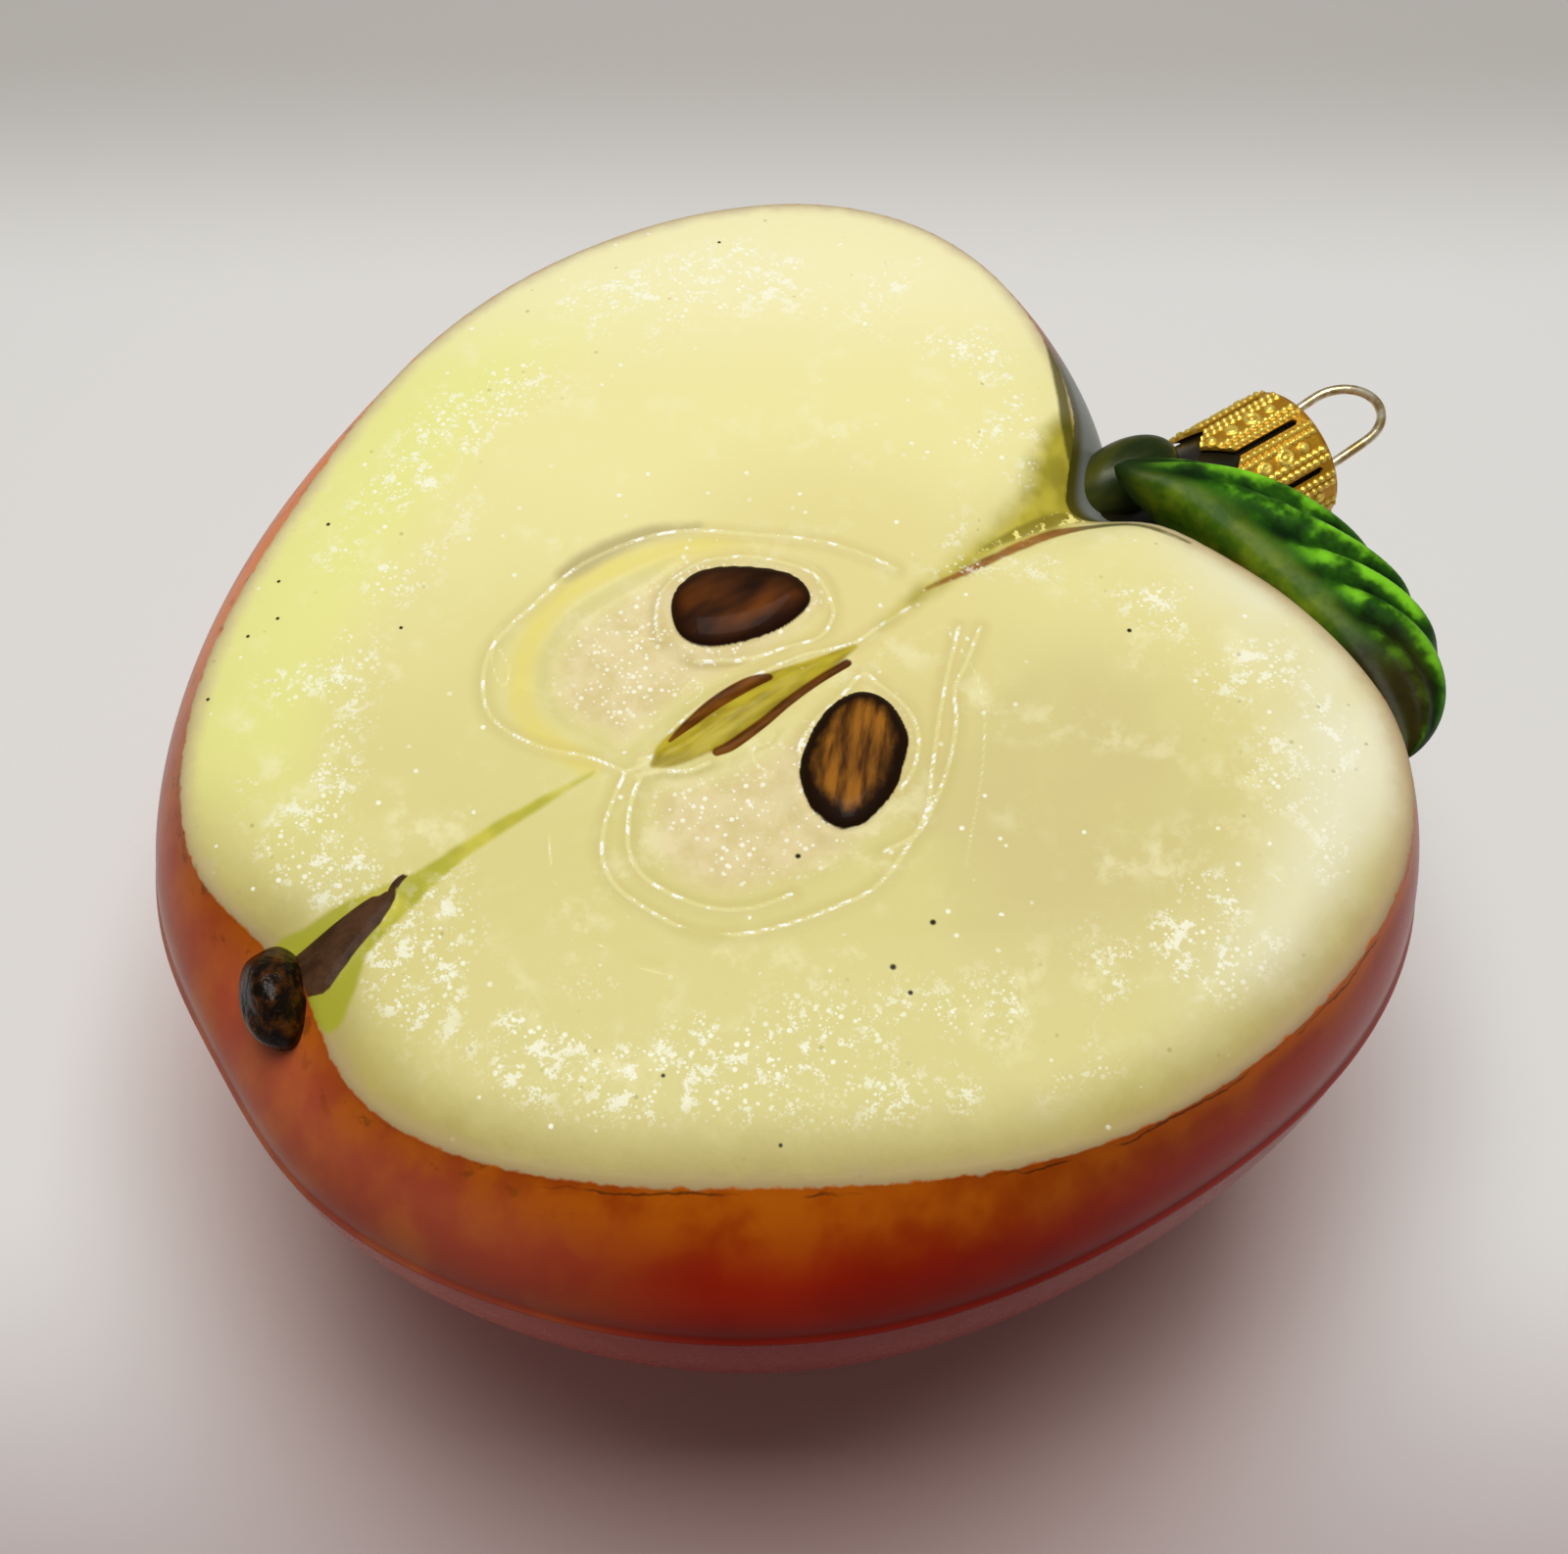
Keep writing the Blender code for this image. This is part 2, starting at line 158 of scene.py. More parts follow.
RIDGES = [
    # the far chamber's outer wall, from the calyx side round to the stem side
    [(-12.5, -1.7), (-14.0, 0.6), (-15.9, 2.5), (-17.3, 4.7), (-17.9, 7.0), (-17.1, 9.4), (-15.3, 11.6),
     (-13.0, 12.7), (-10.6, 13.4), (-6.3, 14.5), (-1.5, 14.2), (2.0, 12.9), (5.2, 10.5), (9.0, 7.3),
     (11.2, 4.4), (12.5, 2.0)],
    # round the far seed
    [(-4.7, 6.4), (-3.9, 8.1), (-2.5, 9.6), (-0.6, 10.2), (1.4, 10.2), (4.4, 8.8), (6.9, 6.0),
     (7.5, 4.4), (7.2, 2.6), (6.4, 1.1), (4.6, 0.2), (2.3, 0.9), (0.2, 1.4), (-1.5, 2.1), (-3.6, 3.4)],
    # the near chamber's outer wall and its double on the stem side
    [(-12.6, -1.9), (-14.3, -3.2), (-16.0, -4.8), (-17.3, -6.7), (-17.7, -8.7), (-17.2, -10.9),
     (-15.4, -14.6), (-13.4, -16.2), (-10.6, -17.4), (-6.5, -18.3), (-3.0, -18.4), (2.1, -16.0),
     (4.6, -13.4), (7.3, -10.4), (10.1, -7.5), (13.2, -4.6)],
    [(-11.6, -2.5), (-13.1, -3.7), (-14.5, -5.4), (-15.6, -7.3), (-15.8, -9.3), (-15.0, -11.5),
     (-13.4, -13.8), (-11.2, -15.3), (-8.4, -15.9)],
    [(-1.5, -16.6), (1.1, -16.7), (3.0, -15.7), (5.7, -13.7), (8.3, -11.1), (9.9, -8.7), (11.8, -7.4),
     (14.4, -5.5)],
    # round the near seed, with a peak towards the spindle
    [(-2.1, -7.7), (-1.4, -6.4), (0.8, -5.3), (3.2, -4.7), (5.4, -4.0), (5.9, -5.4), (6.3, -7.4),
     (6.2, -9.0), (5.4, -10.8), (3.8, -12.4), (2.2, -13.2)],
    # along the spindle and on towards the stem
    [(-12.4, -1.8), (-10.4, -1.8), (-8.4, -0.8), (-6.0, -0.1), (-3.0, 0.1), (0.5, -0.1), (3.2, -0.5),
     (6.3, -1.5), (9.0, -1.3), (11.4, -1.2)],
    [(-12.0, -2.4), (-10.4, -3.0), (-8.9, -3.9), (-7.3, -4.2)],
    [(-11.2, -1.4), (-8.6, -2.2), (-6.1, -2.0), (-3.9, -1.8), (-1.7, -1.9), (0.8, -1.5), (3.6, -1.8)],
]
HAIRLINES = [
    [(-5.9, 0.9), (-4.8, 1.0), (-4.1, 1.7), (-4.5, 2.4), (-5.6, 2.0)],
    [(-6.5, 7.6), (-5.5, 7.3), (-4.6, 6.4)],
    [(-19.3, -3.2), (-20.9, -6.6), (-21.1, -10.9), (-19.8, -14.4), (-17.5, -17.4)],
    [(2.5, -20.3), (8.0, -14.6), (11.5, -9.5), (12.4, -4.5)],
    [(-2.2, -4.6), (-3.0, -4.9), (-4.1, -4.8), (-4.6, -5.7), (-4.4, -6.8), (-5.6, -6.9)],
    [(-14.2, 12.6), (-15.6, 10.8), (-16.0, 8.6), (-14.9, 9.6), (-14.6, 11.4)],
]

# Painted strokes: points (x, y, half width)
SPINDLE = [(-10.6, -2.3, 0.2), (-8.6, -2.1, 1.2), (-4.5, -1.9, 1.7), (-1.0, -1.7, 1.5), (2.6, -1.8, 0.9),
           (6.3, -1.8, 0.15)]
DARK_STROKES = [
    [(-8.7, -1.3, 0.1), (-7.1, -0.9, 0.35), (-4.4, -0.4, 0.55), (-1.8, -0.3, 0.6), (-0.2, -0.6, 0.35)],
    [(-6.4, -3.7, 0.3), (-5.2, -3.8, 0.38), (-2.6, -3.5, 0.34), (0.0, -3.0, 0.3), (2.6, -2.7, 0.28),
     (5.1, -2.6, 0.3)],
]
FIBRE = [(-38.6, 0.4), (-35.7, 0.7), (-33.3, 0.6), (-30.5, 0.0), (-27.3, -0.6), (-21.7, -0.4), (-14.2, -0.6),
         (-19.3, -1.2), (-25.8, -1.8), (-30.8, -3.1), (-33.4, -3.9), (-35.5, -5.8), (-37.5, -7.3),
         (-38.6, -6.2)]
STEM_WEDGE = [(9.0, -1.3, 0.1), (13.4, -0.5, 0.55), (18.4, 0.2, 1.0), (22.4, 0.8, 1.5), (26.4, 1.6, 2.3),
              (29.0, 2.4, 3.4), (31.0, 2.6, 4.6)]
NEAR_LOBE_LINE = [(13.4, -0.5, 0.1), (17.2, -0.7, 0.28), (22.3, -0.5, 0.42), (26.0, -0.9, 0.4),
                  (29.6, -3.0, 0.25), (32.0, -7.2, 0.15)]
FAR_LOBE_LINE = [(35.4, 15.0, 0.15), (34.0, 11.8, 0.3), (32.6, 9.0, 0.4), (31.2, 6.6, 0.45), (29.7, 3.8, 0.3)]
TONGUE = [(-38.3, -1.0), (-35.3, -0.5), (-31.7, -0.3), (-30.4, -0.6), (-29.2, -0.1), (-28.3, -0.3),
          (-30.1, -1.1), (-30.0, -1.4), (-31.8, -2.5), (-33.5, -3.1), (-35.3, -3.9), (-37.2, -4.6),
          (-38.6, -3.4)]
WALL = [(11.6, 6.4), (8.0, 7.6), (2.4, 11.2), (-2.5, 12.8), (-8.2, 13.0), (-12.6, 10.7), (-15.2, 7.5),
        (-15.9, 4.3), (-14.3, -0.1)]
SHADE = [(-8.0, 14.3, 0.2), (-7.1, 14.5, 0.7), (-4.7, 14.7, 0.8), (-0.9, 14.4, 0.6), (2.8, 12.9, 0.2)]
STEM_STRIP = [(18.5, 0.4, 0.15), (22.7, 0.6, 0.5), (26.7, 0.4, 0.6), (30.4, -1.4, 0.7), (32.4, -5.6, 0.4)]
# Dark specks in the flesh: (x, y, radius)
SPECKS = [(-1.9, -22.7, 0.3), (-5.9, -23.9, 0.3), (-6.0, -26.0, 0.25), (-19.2, 28.3, 0.22),
          (-24.5, 25.9, 0.2), (-26.1, 22.9, 0.2), (-28.5, 22.9, 0.2), (-19.4, 16.9, 0.2),
          (-33.2, 19.9, 0.2), (19.2, 35.7, 0.2), (22.9, -11.5, 0.25), (-6.3, -13.5, 0.28),
          (-18.5, -29.8, 0.2), (-22.2, -22.0, 0.2)]

# What the glass's attributes hold the distances from
OUTLINES = {"far_seed": FAR_SEED, "near_seed": NEAR_SEED, "far_chamber": FAR_CHAMBER,
            "near_chamber": NEAR_CHAMBER, "fibre": FIBRE, "tongue": TONGUE}
LINES = {"ridge": RIDGES, "hairline": HAIRLINES, "wall": [WALL]}
STROKES = {"spindle": [SPINDLE], "strokes": DARK_STROKES, "wedge": [STEM_WEDGE], "strip": [STEM_STRIP],
           "shade": [SHADE], "lobe_line": [NEAR_LOBE_LINE, FAR_LOBE_LINE]}

# Camera, at the place that the shot was taken from
VIEW_AZIMUTH = math.radians(-33.6)
VIEW_ELEVATION = math.radians(58.9)
VIEW_DISTANCE = 167.0
VIEW_AIM = (-3.3, -7.3, 0.0)
LENS = 56.25
SENSOR = 36.0

# The lamp, in metres and watts
KEY_PLACE = Vector((0.02, 0.03, 0.52))
KEY_AIM = Vector((0.0, 0.0, 0.04))
KEY_SIZE = 0.3
KEY_POWER = 2.15

# Two ways across the face, by which its shades change
RIGHT = VIEW_AZIMUTH
AWAY = VIEW_AZIMUTH + math.radians(90)


def rgb(red, green, blue):
    """The linear colour of a shade given as it looks on a screen, from 0 to 255."""
    shares = [value / 255 for value in (red, green, blue)]
    return (*(s / 12.92 if s < 0.04 else ((s + 0.055) / 1.055) ** 2.4 for s in shares), 1.0)


def waves(angle, size, shares):
    return size * (1 - sum(share * np.cos(k * angle) for k, share in shares.items()))


def body_radius(from_stem):
    """Distance of the skin from the core's centre, at an angle from the stem's direction."""
    cavity = STEM_CAVITY * np.exp(-((from_stem / HOLLOW_SPREAD) ** 2))
    basin = CALYX_BASIN * np.exp(-(((np.pi - from_stem) / HOLLOW_SPREAD) ** 2))
    return waves(from_stem, BODY_RADIUS, BODY_WAVES) - cavity - basin


def lean(around):
    return LOPSIDED * np.sin(2 * around)


def dent(around, direction, spread, depth):
    """A smooth dent of an outline, deepest in one direction."""
    away = (around - direction + np.pi) % (2 * np.pi) - np.pi
    return depth * np.exp(-((away / spread) ** 2))


def face_radius(around):
    """Distance of the flesh's edge from the face's centre, in a direction seen from above."""
    dents = sum(dent(around, *sizes) for sizes in (STEM_NOTCH, CALYX_NOTCH, CALYX_LOBES))
    return waves(around, FACE_RADIUS, FACE_WAVES) - dents


def groove(x, y, end, length, half_width, depth):
    """A valley along the core, deepest at its outer end."""
    along = np.where(x / end < 1, np.exp(-(((x - end) / length) ** 2)), 1.0)
    return depth * along * np.exp(-((y / half_width) ** 2))


def face_relief(x, y):
    """Height of the smooth glass over the flesh's edge."""
    radius = np.hypot(x, y)
    out = np.minimum(radius / face_radius(np.arctan2(y, x)), 1.0)
    crown = CROWN * (1 - out**2) + EDGE_ROUNDING * (1 - out**8)
    dish = CORE_DISH * np.exp(-((radius / CORE_RADIUS) ** 4))
    return crown - dish - groove(x, y, *STEM_GROOVE) - groove(x, y, *CALYX_GROOVE)


def smooth_line(points, closed=False, steps=6):
    """Points along a smooth curve through the given ones (Catmull-Rom)."""
    points = np.array(points, float)
    if closed:
        points = np.concatenate([points[-1:], points, points[:2]])
    else:
        points = np.concatenate([2 * points[:1] - points[1:2], points, 2 * points[-1:] - points[-2:-1]])
    t = np.linspace(0, 1, steps, endpoint=False)[:, None]
    line = []
    for a, b, c, d in zip(points, points[1:], points[2:], points[3:]):
        bend, twist = 2 * a - 5 * b + 4 * c - d, 3 * b - a - 3 * c + d
        line.append(0.5 * (2 * b + (c - a) * t + bend * t**2 + twist * t**3))
    if not closed:
        line.append(points[-2:-1])
    return np.concatenate(line)


def stroke_distance(x, y, line):
    """Distance from a line that has a half width at each point: negative inside the stroke."""
    nearest = np.full(x.shape, 1e3)
    for (x0, y0, w0), (x1, y1, w1) in zip(line, line[1:]):
        length = (x1 - x0) ** 2 + (y1 - y0) ** 2
        t = np.clip(((x - x0) * (x1 - x0) + (y - y0) * (y1 - y0)) / max(length, 1e-9), 0, 1)
        away = np.hypot(x - x0 - t * (x1 - x0), y - y0 - t * (y1 - y0)) - (w0 + t * (w1 - w0))
        nearest = np.minimum(nearest, away)
    return nearest


def line_distance(x, y, lines):
    """Distance from the nearest of several smooth lines of no width."""
    nearest = np.full(x.shape, 1e3)
    for points in lines:
        line = np.pad(smooth_line(points), ((0, 0), (0, 1)))
        nearest = np.minimum(nearest, stroke_distance(x, y, line))
    return nearest


def outline_distance(x, y, points):
    """Distance from a smooth closed outline: negative inside it."""
    loop = smooth_line(points, closed=True)
    loop = np.concatenate([loop, loop[:1]])
    inside = np.zeros(x.shape, bool)
    for (x0, y0), (x1, y1) in zip(loop, loop[1:]):
        crosses = (y0 > y) != (y1 > y)
        inside ^= crosses & (x < x0 + (y - y0) * (x1 - x0) / (y1 - y0 + 1e-12))
    away = stroke_distance(x, y, np.pad(loop, ((0, 0), (0, 1))))
    return np.where(inside, -away, away)


def step(value, low, high):
    """0 below low, 1 above high, and a smooth rise between."""
    t = np.clip((value - low) / (high - low), 0, 1)
    return t * t * (3 - 2 * t)


def dome(distance, reach, height):
    """A cushion over the inside of an outline, whose distances are negative there."""
    rise = np.clip(-distance / reach, 0, 1)
    return height * np.sqrt(1 - (1 - rise) ** 2)


def paint_maps(x, y):
    """Signed distances in millimetres from the painted and moulded shapes of the face."""
    maps = {name: outline_distance(x, y, points) for name, points in OUTLINES.items()}
    for name, lines in LINES.items():
        maps[name] = line_distance(x, y, lines)
    for name, strokes in STROKES.items():
        maps[name] = np.min([stroke_distance(x, y, smooth_line(stroke)) for stroke in strokes], axis=0)
    return maps


def moulded_relief(maps):
    """Height of the seeds, ridges, chambers and strokes over the smooth glass."""
    height = dome(maps["far_seed"], SEED_DOME, SEED_RISE) + dome(maps["near_seed"], SEED_DOME, SEED_RISE)
    height += RIDGE_HEIGHT * np.exp(-((maps["ridge"] / RIDGE_WIDTH) ** 2))
    height += 0.4 * RIDGE_HEIGHT * np.exp(-((maps["hairline"] / RIDGE_WIDTH) ** 2))
    floor = step(-maps["far_chamber"], 0, CHAMBER_WALL) + 0.7 * step(-maps["near_chamber"], 0, CHAMBER_WALL)
    near_seeds = np.minimum(maps["far_seed"], maps["near_seed"])
    height -= CHAMBER_DEPTH * floor * step(near_seeds, 0.3, 2.0)
    height += 0.35 * step(-maps["spindle"], -0.3, 1.2)
    height -= 0.15 * step(-maps["strokes"], -0.2, 0.2)
    height += dome(maps["tongue"], 1.6, 0.5)
    return height


def shoulder_point(around, t):
    """(radius, height over the axis) between the flesh's edge, t = 0, and the seam, t = 1."""
    edge = face_radius(around)
    seam = body_radius(np.abs(around)) + lean(around)
    x, y = edge * np.cos(around), edge * np.sin(around)
    top = FACE_ABOVE_AXIS + face_relief(x, y)
    weights = ((1 - t) ** 3, 3 * t * (1 - t) ** 2, 3 * t * t * (1 - t), t**3)
    radii = (edge, edge + 0.12 * (seam - edge), seam, seam)
    heights = (top, 0.92 * top, 0.5 * top, 0.0)
    radius = sum(w * v for w, v in zip(weights, radii))
    height = sum(w * v for w, v in zip(weights, heights))
    return radius, height


def seam_rise(height):
    """The mould's seam, a fine raised line at the level of the core's axis."""
    return SEAM_RIDGE * np.exp(-((height / SEAM_WIDTH) ** 2))


def glass_points():
    """(points, maps): rings of points from the face's middle down to the belly's pole."""
    around = np.linspace(-np.pi, np.pi, AROUND, endpoint=False)
    core = np.linspace(0, CORE_REACH, CORE_RINGS + 1)[1:]
    outer = np.linspace(0, 1, OUTER_RINGS + 1)[1:] ** 0.9
    edge = face_radius(around)
    radii = [np.full(AROUND, r) for r in core] + [CORE_REACH + s * (edge - CORE_REACH) for s in outer]
    radii = np.array(radii)
    x, y = radii * np.cos(around), radii * np.sin(around)
    maps = paint_maps(x, y)
    top = FACE_ABOVE_AXIS + face_relief(x, y) + moulded_relief(maps)
    maps["edge"] = radii - edge
    face = np.stack([x, y, top], axis=-1)
    lower = []
    for t in 1 - (1 - np.linspace(0, 1, SHOULDER_RINGS + 1)[1:]) ** 1.3:
        radius, height = shoulder_point(around, t)
        radius = radius + seam_rise(height)
        lower.append(np.stack([radius * np.cos(around), radius * np.sin(around), height], axis=-1))
    for down in 0.5 * np.pi * np.linspace(0, 1, BELLY_RINGS + 1)[1:-1] ** 1.25:
        way = np.stack([np.cos(down) * np.cos(around), np.cos(down) * np.sin(around),
                        np.full(AROUND, -np.sin(down))], axis=-1)
        radius = body_radius(np.arccos(np.clip(way[:, 0], -1, 1))) + lean(around) * np.cos(down) ** 2
        radius = radius + seam_rise(radius * np.sin(down)) * np.cos(down)
        lower.append(way * radius[:, None])
    lower = np.array(lower)
    steps = np.diff(np.concatenate([face[-1:], lower]), axis=0)
    below_edge = np.cumsum(np.linalg.norm(steps, axis=-1), axis=0)
    below = {name: np.where(below_edge < PAINT_OVERHANG, distance, FAR_OFF)
             for name, distance in paint_maps(lower[..., 0], lower[..., 1]).items()}
    below["edge"] = below_edge
    return np.concatenate([face, lower]), {name: np.concatenate([maps[name], below[name]]) for name in maps}


def ring_faces(rings, around):
    """Quads between neighbouring rings, and a fan of triangles to a point at each end."""
    columns = np.arange(around)
    after = (columns + 1) % around
    faces = []
    for ring in range(rings - 1):
        upper, lower = ring * around, (ring + 1) * around
        faces += np.stack([upper + columns, lower + columns, lower + after, upper + after], axis=-1).tolist()
    first, last = rings * around, rings * around + 1
    end = (rings - 1) * around
    faces += [[first, a, b] for a, b in zip(columns.tolist(), after.tolist())]
    faces += [[last, end + b, end + a] for a, b in zip(columns.tolist(), after.tolist())]
    return faces


def add_object(name, data):
    """An object in the scene for a mesh, a curve, a light or a camera."""
    thing = bpy.data.objects.new(name, data)
    bpy.context.scene.collection.objects.link(thing)
    return thing


def new_piece(name, points, faces, finish, slot, *nodes):
    """A smooth mesh object from points in millimetres, riding on the frame in place of CAD nodes."""
    mesh = bpy.data.meshes.new(name)
    mesh.from_pydata((np.asarray(points, float) * MM).tolist(), [], faces)
    mesh.validate()
    mesh.shade_smooth()
    mesh.materials.append(finish)
    piece = add_object(name, mesh)
    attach(piece, "root")
    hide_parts(*nodes)
    return piece


def write_maps(piece, maps):
    for name, values in maps.items():
        attribute = piece.data.attributes.new(name, "FLOAT", "POINT")
        attribute.data.foreach_set("value", np.asarray(values, np.float32).ravel())


class Paint:
    """A material's nodes, built one call at a time. Most calls give back an output socket."""

    def __init__(self, name):
        self.material = bpy.data.materials.new(name)
        self.material.use_nodes = True
        self.tree = self.material.node_tree
        self.shader = self.tree.nodes["Principled BSDF"]
        self.place = self.vector("SCALE", self.node("TexCoord")["Object"], Scale=1 / MM)

    def put(self, socket, value):
        if isinstance(value, bpy.types.NodeSocket):
            self.tree.links.new(value, socket)
        else:
            socket.default_value = value

    def node(self, kind, inputs=(), **settings):
        """The outputs of a new node with these settings and inputs."""
        node = self.tree.nodes.new("ShaderNode" + kind)
        for name, value in settings.items():
            setattr(node, name, value)
        for name, value in dict(inputs).items():
            self.put(node.inputs[name], value)
        return node.outputs

    def vector(self, operation, *vectors, **named):
        result = "Value" if operation in ("DOT_PRODUCT", "DISTANCE") else "Vector"
        return self.node("VectorMath", {**dict(enumerate(vectors)), **named}, operation=operation)[result]

    def split(self, axis):
        return self.node("SeparateXYZ", {0: self.place})[axis]

    def toward(self, direction):
        """How far a point lies from the origin in a direction seen from above, in millimetres."""
        return self.vector("DOT_PRODUCT", self.place, (math.cos(direction), math.sin(direction), 0.0))

    def spot(self, x, y, radius):
        """A soft round patch: 1 in its middle, at a place on the face, and 0 past its radius."""
        flat = self.vector("MULTIPLY", self.place, (1.0, 1.0, 0.0))
        return self.step(self.vector("DISTANCE", flat, (CORE_X + x, y, 0.0)), radius, 0.35 * radius)

    def map(self, name):
        return self.node("Attribute", attribute_name=name)["Fac"]

    def math(self, operation, first, second=0.0):
        return self.node("Math", {0: first, 1: second}, operation=operation)[0]

    def step(self, value, low, high):
        """0 where value is at low, 1 at high, and a smooth change between; low may be the larger."""
        inputs = {"Value": value, "From Min": min(low, high), "From Max": max(low, high),
                  "To Min": float(low > high), "To Max": float(low < high)}
        return self.node("MapRange", inputs, interpolation_type="SMOOTHSTEP")["Result"]

    def noise(self, size, detail=2.0, roughness=0.5, stretch=(1, 1, 1), shift=0.0, turn=0.0):
        """Cloudy noise whose blotches are about size millimetres across, stretched along turned axes."""
        turned = self.node("VectorRotate", {"Vector": self.place, "Angle": -turn}, rotation_type="Z_AXIS")
        at = self.vector("MULTIPLY", turned["Vector"], tuple(1 / (size * s) for s in stretch))
        inputs = {"Vector": self.vector("ADD", at, (shift, shift, shift)), "Scale": 1.0,
                  "Detail": detail, "Roughness": roughness}
        return self.node("TexNoise", inputs)["Fac"]

    def flecks(self, size, share, shift=0.0):
        """Round specks of 0 to 1 in a share of the cells of a size in millimetres."""
        at = self.vector("ADD", self.vector("SCALE", self.place, Scale=1 / size), (shift, shift, shift))
        cells = self.node("TexVoronoi", {"Vector": at, "Scale": 1.0})
        chosen = self.step(self.node("SeparateColor", {0: cells["Color"]})[0], 1 - share, 1.02 - share)
        return self.all_of(chosen, self.step(cells["Distance"], 0.42, 0.22))

    def mix(self, factor, first, second):
        return self.node("Mix", {"Factor": factor, "A": first, "B": second}, data_type="RGBA")["Result"]

    def fold(self, operation, values):
        result = values[0]
        for value in values[1:]:
            result = self.math(operation, result, value)
        return result

    def all_of(self, *factors):
        return self.fold("MULTIPLY", factors)

    def add(self, *values):
        return self.fold("ADD", values)

    def most(self, *values):
        return self.fold("MAXIMUM", values)

    def without(self, value):
        return self.math("SUBTRACT", 1.0, value)

    def bump(self, height, distance_mm):
        inputs = {"Strength": 1.0, "Distance": distance_mm * MM, "Height": height}
        return self.node("Bump", inputs)["Normal"]

    def finish(self, colour, roughness, normal=None, **settings):
        self.put(self.shader.inputs["Base Color"], colour)
        self.put(self.shader.inputs["Roughness"], roughness)
        if normal is not None:
            self.put(self.shader.inputs["Normal"], normal)
        for name, value in settings.items():
            self.put(self.shader.inputs[name.replace("_", " ")], value)
        return self.material


def glass_paint():
    """The lacquered glass: pale flesh, dark seeds, olive core and stem, orange and red skin."""
    p = Paint("painted_glass")
    edge = p.map("edge")
    colour, flesh_bump, painted = flesh_colour(p, edge)
    ragged = p.math("MULTIPLY", p.add(p.noise(0.9, 3.0), -0.5), 0.7)
    on_skin = p.step(p.add(edge, ragged), -0.10, 0.16)
    colour = p.mix(on_skin, colour, skin_colour(p, edge))
    gloss = p.add(0.22, p.all_of(p.noise(3.0, 4.0, 0.6), 0.12), p.all_of(painted, 0.30))
    height = p.all_of(flesh_bump, p.step(edge, 0.3, -0.3))
    normal = p.bump(height, 0.10)
    return p.finish(colour, gloss, normal, Coat_Weight=0.04, Coat_Roughness=0.06, Specular_IOR_Level=0.06)


